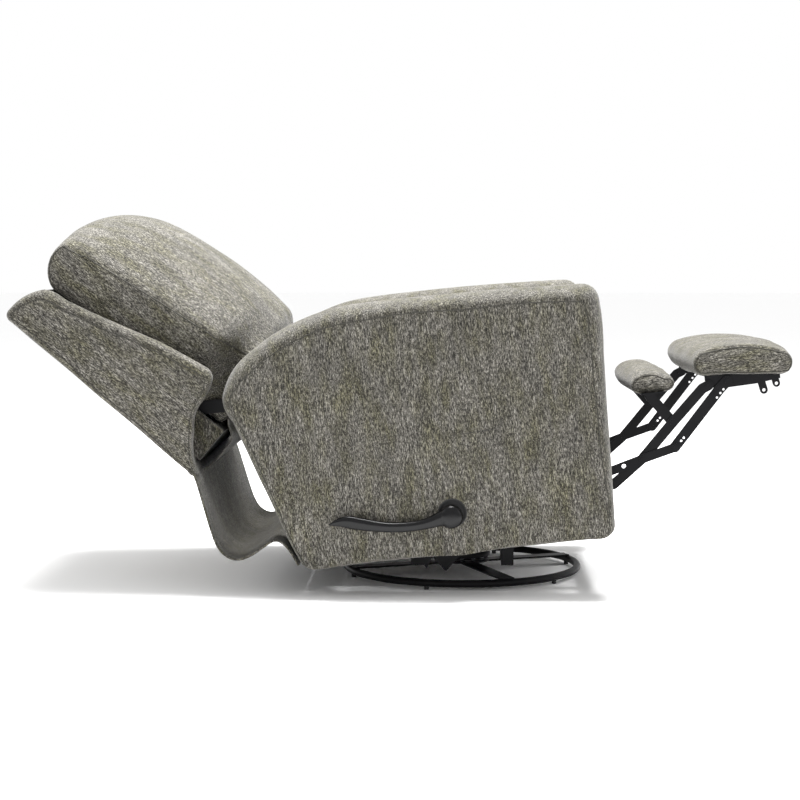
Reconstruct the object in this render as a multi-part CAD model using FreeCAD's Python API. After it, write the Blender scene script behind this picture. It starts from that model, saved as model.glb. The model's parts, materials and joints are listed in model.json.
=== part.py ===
import FreeCAD, Part
import math
import os

# Swivel glider recliner, leaned back with the leg rest out.
# Lengths in millimetres. X points to the front of the chair, Y to the occupant's left, Z up.
# The origin is on the floor, under the middle of the whole object.

V = FreeCAD.Vector

# Place of the ring's centre in the frame of the part
RING_X = 119.8
RING_Y = 15.0

# The chair body rests nose up on its glide links, turned about a line across the chair
TILT = 6.4
TILT_Z = 94.0

# Ring base
RING_R = 254.0
RING_TUBE = 8.0
RING_Z = 14.0
FOOT_R = 5.0
FOOT_ANGLES = (-158.0, -107.0, -39.5, 22.0, 73.0, 140.5)
BRACE_ANGLES = (22.0, 112.0)
BRACE_WIDTH = 32.0
BRACE_LOW = 20.0
STRAP = 4.0
PIN_R = 8.0
PLATE_R = 60.0
BALL_RING_R = 50.0
BALL_R = 4.4
BALL_Z = 31.5
BALLS = 12

# Swivel frame with its glide posts
DRUM_LOW = 36.0
DRUM_TOP = 56.0
DRUM_R = 81.0
SHEET = 3.0
BAR_Y = 55.0
BAR_WIDTH = 30.0
BAR_TOP = 72.0
CROSS_X = 83.0
CROSS_WIDTH = 26.0
CROSS_LOW = 42.0
POST_Y = 180.0
SWING_X = 105.0
SWING_Z = 170.0
STUD_R = 4.0
LINK_Y = 187.0
LINK_WIDTH = 22.0
RUNNING = 0.05

# Lower glide pivots in the tilted frame, and the play of the rear one
GLIDE_PIVOT_Z = 81.7
GLIDE_FRONT_X = 48.4
GLIDE_REAR_X = -101.5
GLIDE_PLAY = 1.4

# Steel base of the chair body
RAIL_Y = 191.0
RAIL_LOW = 98.0
RAIL_TOP = 122.0
RAIL_REAR = -296.0
RAIL_FRONT = 290.0
RAIL_DEPTH = 22.0
ARM_INNER = 270.0
ARM_OUTER = 380.0
ARM_CREST = 325.0

# Layers of flat links from the side plate inwards, each given by its inner face
SIDE_PLATE_Y = 252.0
LAYER_REAR_GROUND = 248.5
LAYER_FRONT_GROUND = 245.0
LAYER_CROSSING = 241.5
LAYER_LONG = 238.0
LAYER_BRACKET = 234.5
LAYER_DRIVE = 256.0
LAYER_CRANK = 260.0

# Pivots of the leg rest linkage in the tilted frame
G1 = (181.8, 324.7)
G2 = (213.3, 350.0)
M = (317.7, 213.7)
X = (391.9, 233.7)
J = (461.2, 250.5)
K = (316.6, 193.8)
O1 = (543.0, 371.0)
O2 = (582.0, 376.0)
P = (462.3, 302.8)
TUBE = (-12.0, 180.0)
TUBE_R = 9.0
CRANK = 40.0
CRANK_ANGLE = -5.0
DRIVE_SWEEP = 108.8
K_PLAY = 3.9
O2_PLAY = 2.4
SMALL_PIN = 3.0

# Recline pivot, and the frame of the back: s runs up the back, n towards the front
RECLINE = (-241.0, 302.0)
BACK_FOOT = (-525.0, 303.0)
BACK_ANGLE = 133.56

SEAT_RAIL_IN = 205.0
SEAT_RAIL_OUT = 228.0
SEAT_RAIL_LOW = 352.0
SEAT_RAIL_TOP = 398.0


# General helpers

def prism(points, y0, y1):
    """Flat piece with an outline in X and Z, between two planes across the chair."""
    corners = [V(x, y0, z) for x, z in points]
    face = Part.Face(Part.makePolygon(corners + corners[:1]))
    return face.extrude(V(0, y1 - y0, 0))


def box(x0, x1, y0, y1, z0, z1):
    return Part.makeBox(x1 - x0, y1 - y0, z1 - z0, V(x0, y0, z0))


def rod(centre, radius, y0, y1):
    return Part.makeCylinder(radius, y1 - y0, V(centre[0], y0, centre[1]), V(0, 1, 0))


def join(shapes):
    first = shapes[0]
    return first.multiFuse(shapes[1:]).removeSplitter() if len(shapes) > 1 else first


def bar(points, width, y0, y1):
    """Flat bar with round ends along a chain of points."""
    pieces = [rod(p, width / 2, y0, y1) for p in points]
    for (xa, za), (xb, zb) in zip(points, points[1:]):
        length = math.hypot(xb - xa, zb - za)
        nx = -(zb - za) / length * width / 2
        nz = (xb - xa) / length * width / 2
        outline = [(xa + nx, za + nz), (xb + nx, zb + nz), (xb - nx, zb - nz), (xa - nx, za - nz)]
        pieces.append(prism(outline, y0, y1))
    return join(pieces)


def holed(shape, holes, y0, y1):
    """Cut round holes, each a centre and a radius."""
    cutters = [rod(centre, radius, y0 - 1, y1 + 1) for centre, radius in holes]
    return shape.cut(cutters)


def mirrored(shape):
    return shape.mirror(V(0, 0, 0), V(0, 1, 0))


def pair(shape):
    """The piece on the left of the chair and its mirror image on the right."""
    return Part.makeCompound([shape, mirrored(shape)])


def polar(centre, radius, degrees):
    a = math.radians(degrees)
    return (centre[0] + radius * math.cos(a), centre[1] + radius * math.sin(a))


def back_point(s, n):
    """A point of the leaned back, from the place along it and the depth in front of it."""
    a = math.radians(BACK_ANGLE)
    x = BACK_FOOT[0] + s * math.cos(a) + n * math.sin(a)
    z = BACK_FOOT[1] + s * math.sin(a) - n * math.cos(a)
    return (x, z)


def ring_of_arcs(points, y):
    """Closed outline from arcs: even points are the ends, odd ones lie on the arcs."""
    edges = []
    count = len(points)
    for i in range(0, count, 2):
        a, m, b = (V(p[0], y, p[1]) for p in (points[i], points[i + 1], points[(i + 2) % count]))
        straight = (m - a).cross(b - a).Length < 0.5
        edges.append(Part.makeLine(a, b) if straight else Part.Arc(a, m, b).toShape())
    return Part.Wire(edges)


def blend(low, high, share):
    return [(a[0] + (b[0] - a[0]) * share, a[1] + (b[1] - a[1]) * share) for a, b in zip(low, high)]


def shrunk(points, by):
    """The outline drawn in towards its middle by a length."""
    cx = sum(p[0] for p in points) / len(points)
    cz = sum(p[1] for p in points) / len(points)
    out = []
    for x, z in points:
        reach = math.hypot(x - cx, z - cz)
        keep = (reach - by) / reach
        out.append((cx + (x - cx) * keep, cz + (z - cz) * keep))
    return out


def puffed(rim, crown, half_width, drawn_in):
    """Cushion along Y: full in the middle, seamed near its ends, drawn in at the end faces."""
    stations = []
    for sign in (-1, 1):
        stations.append((sign * half_width, shrunk(rim, drawn_in)))
        stations.append((sign * (half_width - drawn_in), rim))
        stations.append((sign * half_width * 0.6, blend(rim, crown, 0.8)))
    stations.append((0.0, crown))
    stations.sort(key=lambda item: item[0])
    return Part.makeLoft([ring_of_arcs(points, y) for y, points in stations], True, False)


def save(name, shape, tilted):
    placed = shape.copy()
    if tilted:
        placed.rotate(V(0, 0, TILT_Z), V(0, 1, 0), -TILT)
    placed.translate(V(RING_X, RING_Y, 0))
    placed.exportStep("parts/" + name + ".step")
    return placed


# Base that stands on the floor

def base_ring():
    return Part.makeTorus(RING_R, RING_TUBE, V(0, 0, RING_Z))


def base_feet():
    feet = []
    for angle in FOOT_ANGLES:
        x, y = polar((0, 0), RING_R, angle)
        feet.append(Part.makeCylinder(FOOT_R, RING_Z, V(x, y, 0)).cut(base_ring()))
    return Part.makeCompound(feet)


def base_cross_brace():
    straps = []
    for angle in BRACE_ANGLES:
        strap = box(-RING_R, RING_R, -BRACE_WIDTH / 2, BRACE_WIDTH / 2, BRACE_LOW, BRACE_LOW + STRAP)
        strap.rotate(V(0, 0, 0), V(0, 0, 1), angle)
        straps.append(strap)
    hole = Part.makeCylinder(PIN_R, STRAP, V(0, 0, BRACE_LOW))
    return join(straps).cut(base_ring()).cut(hole)


def lower_swivel_plate():
    low = BRACE_LOW + STRAP
    return Part.makeCylinder(PLATE_R, SHEET, V(0, 0, low)).cut(Part.makeCylinder(PIN_R, SHEET, V(0, 0, low)))


def king_pin():
    head_low = DRUM_LOW + SHEET + 0.3
    shaft = Part.makeCylinder(PIN_R, head_low + 4 - BRACE_LOW, V(0, 0, BRACE_LOW))
    foot = Part.makeCylinder(13, 3, V(0, 0, BRACE_LOW - 3))
    head = Part.makeCylinder(14, 4, V(0, 0, head_low))
    return join([shaft, foot, head])


def swivel_balls():
    centres = [polar((0, 0), BALL_RING_R, 360.0 * i / BALLS) for i in range(BALLS)]
    return Part.makeCompound([Part.makeSphere(BALL_R, V(x, y, BALL_Z)) for x, y in centres])


def ball_cage():
    outer = Part.makeCylinder(BALL_RING_R + 7, 2, V(0, 0, BALL_Z - 1))
    cage = outer.cut(Part.makeCylinder(BALL_RING_R - 7, 2, V(0, 0, BALL_Z - 1)))
    centres = [polar((0, 0), BALL_RING_R, 360.0 * i / BALLS) for i in range(BALLS)]
    return cage.cut([Part.makeCylinder(BALL_R + 0.1, 4, V(x, y, BALL_Z - 2)) for x, y in centres])


# Swivel frame that turns on the base

def upper_swivel_plate():
    bore = PIN_R + RUNNING
    profile = [(bore, DRUM_LOW), (PLATE_R + 2, DRUM_LOW), (PLATE_R + 2, DRUM_TOP - SHEET),
               (DRUM_R, DRUM_TOP - SHEET), (DRUM_R, DRUM_TOP), (PLATE_R - 1, DRUM_TOP),
               (PLATE_R - 1, DRUM_LOW + SHEET), (bore, DRUM_LOW + SHEET)]
    corners = [V(x, 0, z) for x, z in profile]
    return Part.Face(Part.makePolygon(corners + corners[:1])).revolve(V(0, 0, 0), V(0, 0, 1), 360)


def swivel_bars():
    half = BAR_WIDTH / 2
    tube = box(-CROSS_X, CROSS_X, BAR_Y - half, BAR_Y + half, DRUM_TOP, BAR_TOP)
    inside = box(-CROSS_X, CROSS_X, BAR_Y - half + SHEET, BAR_Y + half - SHEET,
                 DRUM_TOP + SHEET, BAR_TOP - SHEET)
    return pair(tube.cut(inside))


def swivel_cross_rails():
    tube = box(CROSS_X, CROSS_X + CROSS_WIDTH, -POST_Y, POST_Y, CROSS_LOW, BAR_TOP)
    inside = box(CROSS_X + SHEET, CROSS_X + CROSS_WIDTH - SHEET, -POST_Y, POST_Y,
                 CROSS_LOW + SHEET, BAR_TOP - SHEET)
    front = tube.cut(inside)
    return Part.makeCompound([front, front.mirror(V(0, 0, 0), V(1, 0, 0))])


def swing_posts():
    foot = CROSS_X + CROSS_WIDTH
    outline = [(CROSS_X, CROSS_LOW), (foot, CROSS_LOW), (foot, BAR_TOP), (SWING_X + 11.5, SWING_Z),
               (SWING_X - 11.5, SWING_Z), (CROSS_X, BAR_TOP)]
    plate = join([prism(outline, POST_Y, POST_Y + SHEET), rod((SWING_X, SWING_Z), 11.5, POST_Y, POST_Y + SHEET)])
    post = holed(plate, [((SWING_X, SWING_Z), STUD_R)], POST_Y, POST_Y + SHEET)
    posts = [post, post.mirror(V(0, 0, 0), V(1, 0, 0))]
    return Part.makeCompound([Part.makeCompound(posts), mirrored(Part.makeCompound(posts))])


def swing_studs():
    """Shouldered studs that carry the upper ends of the swing links."""
    studs = []
    for x in (-SWING_X, SWING_X):
        pivot = (x, SWING_Z)
        shaft = rod(pivot, STUD_R, POST_Y, 190.4)
        shoulder = rod(pivot, 6.5, POST_Y + SHEET, LINK_Y - 0.1)
        head = rod(pivot, 7, 190.2, 192.2)
        tail = rod(pivot, 6, POST_Y - 1.5, POST_Y)
        studs.append(join([shaft, shoulder, head, tail]))
    return pair(Part.makeCompound(studs))


def glide_world(x):
    """Lower glide pivot in the upright frame, from its place in the tilted one."""
    a = math.radians(TILT)
    dz = GLIDE_PIVOT_Z - TILT_Z
    return (x * math.cos(a) - dz * math.sin(a), TILT_Z + x * math.sin(a) + dz * math.cos(a))


def front_swing_links():
    top = (SWING_X, SWING_Z)
    low = glide_world(GLIDE_FRONT_X)
    flat = bar([top, low], LINK_WIDTH, LINK_Y, LINK_Y + SHEET)
    return pair(holed(flat, [(top, STUD_R + RUNNING), (low, STUD_R + RUNNING)], LINK_Y, LINK_Y + SHEET))


def rear_swing_links():
    top = (-SWING_X, SWING_Z)
    low = glide_world(GLIDE_REAR_X)
    flat = bar([top, low], LINK_WIDTH, LINK_Y, LINK_Y + SHEET)
    return pair(holed(flat, [(top, STUD_R + RUNNING), (low, STUD_R + GLIDE_PLAY)], LINK_Y, LINK_Y + SHEET))


# Steel base of the chair body, in the tilted frame like all that follows

def chair_base_rails():
    outer = RAIL_Y + SHEET
    web = [box(RAIL_REAR + RAIL_DEPTH, RAIL_FRONT - RAIL_DEPTH, RAIL_Y, outer, RAIL_LOW, RAIL_TOP)]
    for x in (GLIDE_REAR_X, GLIDE_FRONT_X):
        web.append(prism([(x - 20, RAIL_LOW), (x - 11, GLIDE_PIVOT_Z), (x + 11, GLIDE_PIVOT_Z), (x + 20, RAIL_LOW)],
                         RAIL_Y, outer))
        web.append(rod((x, GLIDE_PIVOT_Z), 11, RAIL_Y, outer))
    web.append(box(RAIL_REAR, RAIL_FRONT, outer - SHEET, outer + 22, RAIL_TOP - SHEET, RAIL_TOP))
    holes = [((x, GLIDE_PIVOT_Z), STUD_R) for x in (GLIDE_REAR_X, GLIDE_FRONT_X)]
    return pair(holed(join(web), holes, RAIL_Y, outer))


def chair_cross_rails():
    rails = []
    for x in (RAIL_REAR, RAIL_FRONT - RAIL_DEPTH):
        tube = box(x, x + RAIL_DEPTH, -ARM_INNER, ARM_INNER, RAIL_LOW, RAIL_TOP - SHEET)
        rails.append(tube.cut(box(x + 2, x + RAIL_DEPTH - 2, -ARM_INNER, ARM_INNER,
                                  RAIL_LOW + 2, RAIL_TOP - SHEET - 2)))
    return Part.makeCompound(rails)


def glide_stop_plates():
    outline = [(-100, 118), (-98, 72), (-81, 46), (-64, 70), (-62, 62), (-41, 35), (30, 100), (30, 118)]
    return pair(prism(outline, RAIL_Y + SHEET, RAIL_Y + 2 * SHEET))


def lower_swing_studs():
    studs = []
    for x in (GLIDE_REAR_X, GLIDE_FRONT_X):
        pivot = (x, GLIDE_PIVOT_Z)
        studs.append(join([rod(pivot, STUD_R, 186.0, RAIL_Y + SHEET), rod(pivot, 7, 184.6, 186.6)]))
    return pair(Part.makeCompound(studs))


# Mechanism between the arms

def drive_pin(centre):
    return polar(centre, CRANK, CRANK_ANGLE)


def slot(centre, inner, outer, start, end, y0, y1):
    """Curved slot about a centre, from one angle to another."""
    middle = (start + end) / 2
    points = [polar(centre, outer, start), polar(centre, outer, middle), polar(centre, outer, end),
              polar(centre, (inner + outer) / 2, end - 6), polar(centre, inner, end),
              polar(centre, inner, middle), polar(centre, inner, start),
              polar(centre, (inner + outer) / 2, start + 6)]
    return Part.Face(ring_of_arcs(points, y0)).extrude(V(0, y1 - y0, 0))


def mechanism_side_plates():
    outline = [(-265, 275), (-265, 330), (-150, 372), (240, 372), (242, 300), (215, 262), (140, 262),
               (30, 235), (20, 160), (-45, 160), (-60, 250), (-150, 260)]
    outer = SIDE_PLATE_Y + SHEET
    plate = prism(outline, SIDE_PLATE_Y, outer)
    plate = holed(plate, [(G1, 5.0), (G2, 5.0), (RECLINE, 6.0), (TUBE, TUBE_R + RUNNING)], SIDE_PLATE_Y, outer)
    return pair(plate.cut(slot(G1, CRANK - 4, CRANK + 4, CRANK_ANGLE, CRANK_ANGLE - DRIVE_SWEEP,
                               SIDE_PLATE_Y - 1, outer + 1)))


def side_plate_studs():
    """Studs of the two ground links and of the recline joint."""
    outer = SIDE_PLATE_Y + SHEET
    rear = join([rod(G1, 5, LAYER_REAR_GROUND, outer + 2), rod(G1, 8, outer, outer + 2)])
    front = join([rod(G2, 5, LAYER_FRONT_GROUND, outer), rod(G2, 8, LAYER_REAR_GROUND, SIDE_PLATE_Y)])
    recline = join([rod(RECLINE, 6, 247.3, outer), rod(RECLINE, 10, 245.3, 247.5),
                    rod(RECLINE, 9, 251.1, SIDE_PLATE_Y)])
    return pair(Part.makeCompound([rear, front, recline]))


def mounting_blocks():
    outer = SIDE_PLATE_Y + SHEET
    return pair(Part.makeCompound([box(150, 235, outer, ARM_INNER, 338, 370),
                                   box(-240, -160, outer, ARM_INNER, 300, 335)]))


def front_ground_links():
    y0, y1 = LAYER_FRONT_GROUND, LAYER_FRONT_GROUND + SHEET
    flat = bar([G2, M], 21, y0, y1)
    return pair(holed(flat, [(G2, 5 + RUNNING), (M, STUD_R)], y0, y1))


def front_ground_pins():
    return pair(rod(M, STUD_R, LAYER_CROSSING, LAYER_FRONT_GROUND + SHEET))


def rear_ground_links():
    y0, y1 = LAYER_REAR_GROUND, LAYER_REAR_GROUND + SHEET
    pin = drive_pin(G1)
    flat = join([bar([G1, K], 21, y0, y1), bar([G1, pin], 18, y0, y1)])
    return pair(holed(flat, [(G1, 5 + RUNNING), (K, SMALL_PIN), (pin, SMALL_PIN)], y0, y1))


def rear_ground_pins():
    """Drive pins that reach out through the slots, and pins that carry the long links."""
    pin = drive_pin(G1)
    drive = join([rod(pin, SMALL_PIN, LAYER_REAR_GROUND, 260.4), rod(pin, 5, 259.3, 260.4)])
    carry = join([rod(K, SMALL_PIN, LAYER_LONG - 0.5, LAYER_REAR_GROUND + SHEET),
                  rod(K, 9.4, LAYER_LONG - 2, LAYER_LONG - 0.4)])
    return pair(Part.makeCompound([drive, carry]))


def crossing_links():
    y0, y1 = LAYER_CROSSING, LAYER_CROSSING + SHEET
    flat = bar([M, X, J], 18.5, y0, y1)
    spare_hole = (352.1, 223.0)
    return pair(holed(flat, [(M, STUD_R + RUNNING), (X, STUD_R), (J, STUD_R), (spare_hole, 4.5)], y0, y1))


def crossing_link_rivets():
    top = LAYER_CROSSING + SHEET
    rivets = [join([rod(p, STUD_R, LAYER_LONG, top + 1.3), rod(p, 6.5, top, top + 1.3)]) for p in (X, J)]
    return pair(Part.makeCompound(rivets))


def long_links():
    y0, y1 = LAYER_LONG, LAYER_LONG + SHEET
    slope = math.radians(36.0)
    tail = (X[0] - 80 * math.cos(slope), X[1] - 80 * math.sin(slope))
    knee = (530.0, 366.0)
    flat = join([bar([tail, X, P, knee, O1], 21, y0, y1), rod(K, 11.5, y0, y1), bar([K, tail], 21, y0, y1)])
    return pair(holed(flat, [(K, SMALL_PIN + K_PLAY), (X, STUD_R + RUNNING), (P, STUD_R), (O1, STUD_R)], y0, y1))


def long_link_rivets():
    top = LAYER_LONG + SHEET
    rivets = [join([rod(p, STUD_R, LAYER_BRACKET, top + 1.3), rod(p, 6.5, top, top + 1.3)]) for p in (P, O1)]
    return pair(Part.makeCompound(rivets))


def outer_links():
    y0, y1 = LAYER_LONG, LAYER_LONG + SHEET
    knee = (565.5, 361.5)
    flat = bar([J, knee, O2], 22, y0, y1)
    small = [(481.7, 268.2), (475.7, 262.3), (573.0, 359.5), (566.0, 352.5), (558.0, 344.0)]
    holes = [(J, STUD_R + RUNNING), (O2, SMALL_PIN)] + [(p, 2.5) for p in small]
    return pair(holed(flat, holes, y0, y1))


def outer_link_rivets():
    top = LAYER_LONG + SHEET
    return pair(join([rod(O2, SMALL_PIN, LAYER_BRACKET, top + 1.3), rod(O2, 6, top, top + 1.3)]))


# Leg rest

def under_ottoman(x):
    """Height of the flat underside of the leg rest cushion."""
    return 392.0 - (x - 546.0) * 13.0 / 153.0


def ottoman_brackets():
    y0, y1 = LAYER_BRACKET, LAYER_BRACKET + SHEET
    rear, front = 537.0, 692.0
    outline = [(rear, under_ottoman(rear) - 0.2), (front, under_ottoman(front) - 0.2), (front, 370), (640, 364),
               (572, 362), (552, 365), (rear, 372)]
    lugs = [bar([(656, 349), (652, 370)], 16, y0, y1), bar([(683, 360), (681, 370)], 15, y0, y1)]
    flange = prism([(rear, under_ottoman(rear) - 3.2), (front, under_ottoman(front) - 3.2),
                    (front, under_ottoman(front) - 0.2), (rear, under_ottoman(rear) - 0.2)], 205, y1)
    solid = join([prism(outline, y0, y1), rod(O1, 9.5, y0, y1), flange] + lugs)
    holes = [(O1, STUD_R + RUNNING), (O2, SMALL_PIN + O2_PLAY), ((656, 349), 3.5), ((683, 360), 3.5)]
    return pair(holed(solid, holes, y0, y1))


def ottoman_board_outline(grow):
    rear, front = 534.0 - grow, 694.0 + grow
    return [(rear, under_ottoman(rear) - 0.2), (front, under_ottoman(front) - 0.2),
            (front, under_ottoman(front) + 12), (rear, under_ottoman(rear) + 12)]


def ottoman_board():
    return prism(ottoman_board_outline(0), -234, 234)


def ottoman_cushion():
    rim = [(528, 393.5), (615, 386.2), (706, 378.4), (720, 402), (700, 426), (618, 446), (536, 441), (515, 419)]
    crown = [(522, 394.0), (615, 386.2), (712, 378.0), (733, 410), (716, 431), (618, 454), (530, 449), (499, 424)]
    solid = puffed(rim, crown, 255, 9)
    pocket = prism([(534, 370), (694, 370), (694, under_ottoman(694) + 12), (534, under_ottoman(534) + 12)],
                   -234, 234)
    below = prism([(480, 340), (760, 340), (760, under_ottoman(760)), (480, under_ottoman(480))], -260, 260)
    return solid.cut(pocket).cut(below)


# Middle pad of the leg rest

FLIPPER_LOW = 368.0
FLIPPER_TIP = (421.1, 362.0)


def flipper_links():
    y0, y1 = LAYER_BRACKET, LAYER_BRACKET + SHEET
    flat = bar([P, FLIPPER_TIP], 21, y0, y1)
    flat = flat.cut(box(380, 480, y0 - 1, y1 + 1, FLIPPER_LOW, 400))
    flange = box(404, 452, 205, y1, FLIPPER_LOW - 3, FLIPPER_LOW)
    return pair(holed(join([flat, flange]), [(P, STUD_R + RUNNING)], y0, y1))


def flipper_board():
    return box(402, 458, -212, 212, FLIPPER_LOW, FLIPPER_LOW + 8)


def flipper_cushion():
    rim = [(400, 369.5), (433, 368.3), (464, 369.5), (476, 385), (457, 396), (426, 408), (395, 401), (386, 383)]
    crown = [(398, 369.5), (433, 368.1), (468, 369.5), (481, 388), (464, 402), (428, 418), (390, 409), (374, 390)]
    solid = puffed(rim, crown, 230, 8)
    return solid.cut(box(402, 458, -212, 212, 350, FLIPPER_LOW + 8)).cut(box(360, 500, -240, 240, 340, FLIPPER_LOW))


# Release handle and what it turns

def torque_tube():
    solid = rod(TUBE, TUBE_R, -386.0, LAYER_CRANK + SHEET)
    return solid.cut(rod(TUBE, TUBE_R - 2, -380.0, LAYER_CRANK + SHEET))


def crank_arms():
    y0, y1 = LAYER_CRANK, LAYER_CRANK + SHEET
    pin = drive_pin(TUBE)
    flat = holed(bar([TUBE, pin], 22, y0, y1), [(TUBE, TUBE_R)], y0, y1)
    return pair(join([flat, rod(pin, STUD_R, LAYER_DRIVE, y0 + 1)]))


def drive_links():
    y0, y1 = LAYER_DRIVE, LAYER_DRIVE + SHEET
    low, high = drive_pin(TUBE), drive_pin(G1)
    return pair(holed(bar([low, high], 16, y0, y1), [(low, STUD_R + RUNNING), (high, SMALL_PIN + 0.3)], y0, y1))


def handle_lever():
    boss = (-13.0, 177.0)
    arm = [(-40, 190), (-76, 177), (-138, 178), (-178, 188), (-219, 202), (-246, 200), (-259, 187), (-240, 178),
           (-220, 174), (-160, 162), (-99, 156), (-70, 156), (-40, 160), (-20, 177)]
    solid = Part.Face(ring_of_arcs(arm, -403.0)).extrude(V(0, 15, 0))
    hub = rod(boss, 24, -410, -384).cut(rod(TUBE, TUBE_R, -386, -384))
    return join([solid.cut(rod(TUBE, TUBE_R, -386, -384)), hub])


def handle_escutcheon():
    return rod((-10, 182), 29, -383.5, -380).cut(rod(TUBE, TUBE_R + 0.5, -384, -379))


# Seat

def seat_side_rails():
    return pair(box(-240, 262, SEAT_RAIL_IN, SEAT_RAIL_OUT, SEAT_RAIL_LOW, SEAT_RAIL_TOP))


def seat_cross_rails():
    rails = [box(x, x + 22, -SEAT_RAIL_IN, SEAT_RAIL_IN, SEAT_RAIL_LOW, SEAT_RAIL_TOP) for x in (-240, 240)]
    return Part.makeCompound(rails)


def seat_brackets():
    outer = SIDE_PLATE_Y + SHEET
    brackets = []
    for x in (-140, 60):
        brackets.append(join([box(x, x + 80, SEAT_RAIL_OUT, outer, 372, 375),
                              box(x, x + 80, SEAT_RAIL_OUT, SEAT_RAIL_OUT + SHEET, SEAT_RAIL_LOW, 375)]))
    return pair(Part.makeCompound(brackets))


def zigzag(start, end, middle, swing, turns):
    """Flat zigzag wire from one end to the other, as an outline in two rows of points."""
    left, right = [], []
    for i in range(turns + 1):
        along = start + (end - start) * i / turns
        across = middle + (swing if i % 2 else -swing)
        left.append((along, across + 3))
        right.append((along, across - 3))
    return left + right[::-1]


def seat_springs():
    springs = []
    for row in range(-2, 3):
        outline = [V(a, b, 394) for a, b in zigzag(-218, 240, row * 80.0, 20, 14)]
        springs.append(Part.Face(Part.makePolygon(outline + outline[:1])).extrude(V(0, 0, 3)))
    return Part.makeCompound(springs)


def seat_cushion():
    rim = [(-150, 398), (90, 398), (318, 398), (332, 435), (318, 474), (90, 480), (-150, 478), (-150.5, 438)]
    crown = [(-150, 398), (90, 398), (324, 398), (343, 440), (326, 480), (90, 494), (-150, 488), (-150.5, 438)]
    front = puffed(rim, crown, 265, 9)
    rear_rim = [(-300, 398), (-220, 398), (-140, 398), (-139, 438), (-140, 477), (-220, 477), (-292, 466), (-303, 430)]
    rear_crown = [(-300, 398), (-220, 398), (-140, 398), (-139, 438), (-140, 486), (-220, 486), (-292, 470),
                  (-306, 430)]
    rear = puffed(rear_rim, rear_crown, 236, 8)
    flat = box(-320, 360, -280, 280, 380, 398)
    return join([front.cut(flat), rear.cut(flat)])


# Arms

# Outline of an arm as arcs: ends and middles take turns. The second value of each pair is how much of the
# edge rounding that point takes, so the foot of the arm stays square and its top becomes a soft crown.
ARM_OUTLINE = [
    ((-300, 95), 0.0), ((0, 94.5), 0.0), ((290, 95), 0.0), ((309, 102), 0.2), ((317, 126), 0.5),
    ((323, 290), 0.7), ((330, 474), 0.8), ((333, 534), 0.9), ((331, 574), 1.0), ((322, 600), 1.0),
    ((300, 611), 1.0), ((60, 621), 1.0), ((-170, 621), 1.0), ((-225, 615), 1.0), ((-274, 602), 1.0),
    ((-340, 575), 1.0), ((-402, 536), 1.0), ((-434, 500), 0.8), ((-451, 461), 0.5), ((-449, 440), 0.4),
    ((-434, 410), 0.4), ((-390, 274), 0.4), ((-334, 120), 0.3), ((-322, 101), 0.1)]
ARM_ROUNDING = ((ARM_INNER, 24.0), (ARM_INNER + 8, 13.0), (ARM_INNER + 26, 3.0), (ARM_CREST, 0.0),
                (ARM_OUTER - 22, 7.0), (ARM_OUTER - 7, 20.0), (ARM_OUTER, 31.0))


def arm_section(depth, y):
    middle = (-20.0, 330.0)
    points = []
    for (x, z), share in ARM_OUTLINE:
        reach_x = max(-1.0, min(1.0, (x - middle[0]) / 300.0)) ** 3
        reach_z = max(0.0, min(1.0, (z - middle[1]) / 250.0)) ** 2
        size = max(math.hypot(reach_x, reach_z), 0.001)
        scale = depth * share * min(1.0, size) / size
        points.append((x - reach_x * scale, z - reach_z * scale))
    return ring_of_arcs(points, y)


def arm_padding():
    """Left arm: soft all round, with a pocket from below for its board."""
    solid = Part.makeLoft([arm_section(depth, y) for y, depth in ARM_ROUNDING], True, False)
    return solid.cut(box(-290, 280, 300, 318, 80, 540))


def arm_left():
    return arm_padding()


def arm_right():
    return mirrored(arm_padding()).cut(rod(TUBE, TUBE_R + 0.5, -390, -260))


def arm_boards():
    left = box(-290, 280, 300, 318, 97, 540)
    return Part.makeCompound([left, mirrored(left).cut(rod(TUBE, TUBE_R + 0.5, -390, -260))])


# Flap of cloth behind the seat

FLAP_LINE = [(-521.5, 297.0), (-516, 261), (-507, 207), (-498, 169), (-485, 144), (-461, 129), (-433, 135),
             (-409, 148), (-385, 161), (-370, 161), (-357, 150), (-346, 132), (-335, 104)]
FLAP_THICK = 3.0


def rear_flap():
    left, right = [], []
    last = len(FLAP_LINE) - 1
    for i, (x, z) in enumerate(FLAP_LINE):
        before, after = FLAP_LINE[max(i - 1, 0)], FLAP_LINE[min(i + 1, last)]
        run = math.hypot(after[0] - before[0], after[1] - before[1])
        nx = -(after[1] - before[1]) / run * FLAP_THICK / 2
        nz = (after[0] - before[0]) / run * FLAP_THICK / 2
        left.append(V(x + nx, -350, z + nz))
        right.append(V(x - nx, -350, z - nz))
    sides = []
    for row in (left, right):
        curve = Part.BSplineCurve()
        curve.interpolate(row)
        sides.append(curve.toShape())
    ends = [Part.makeLine(left[0], right[0]), Part.makeLine(left[last], right[last])]
    face = Part.Face(Part.Wire(Part.__sortEdges__(sides + ends)))
    return face.extrude(V(0, 700, 0))


def flap_batten():
    return box(-333, RAIL_REAR, -268, 268, 100, 105)


# Back

def back_prism(points, y0, y1):
    return prism([back_point(s, n) for s, n in points], y0, y1)


def back_brackets():
    y0, y1 = 247.8, 250.8
    flat = bar([RECLINE, (-345, 405), (-455, 440), (-560, 440)], 28, y0, y1)
    return pair(holed(flat, [(RECLINE, 6 + RUNNING)], y0, y1))


def back_side_rails():
    return pair(back_prism([(20, 22), (480, 22), (480, 100), (20, 100)], 250.8, 269))


def back_cross_rails():
    low = back_prism([(20, 22), (45, 22), (45, 100), (20, 100)], -250.8, 250.8)
    high = back_prism([(455, 22), (480, 22), (480, 100), (455, 100)], -250.8, 250.8)
    return Part.makeCompound([low, high])


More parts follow.
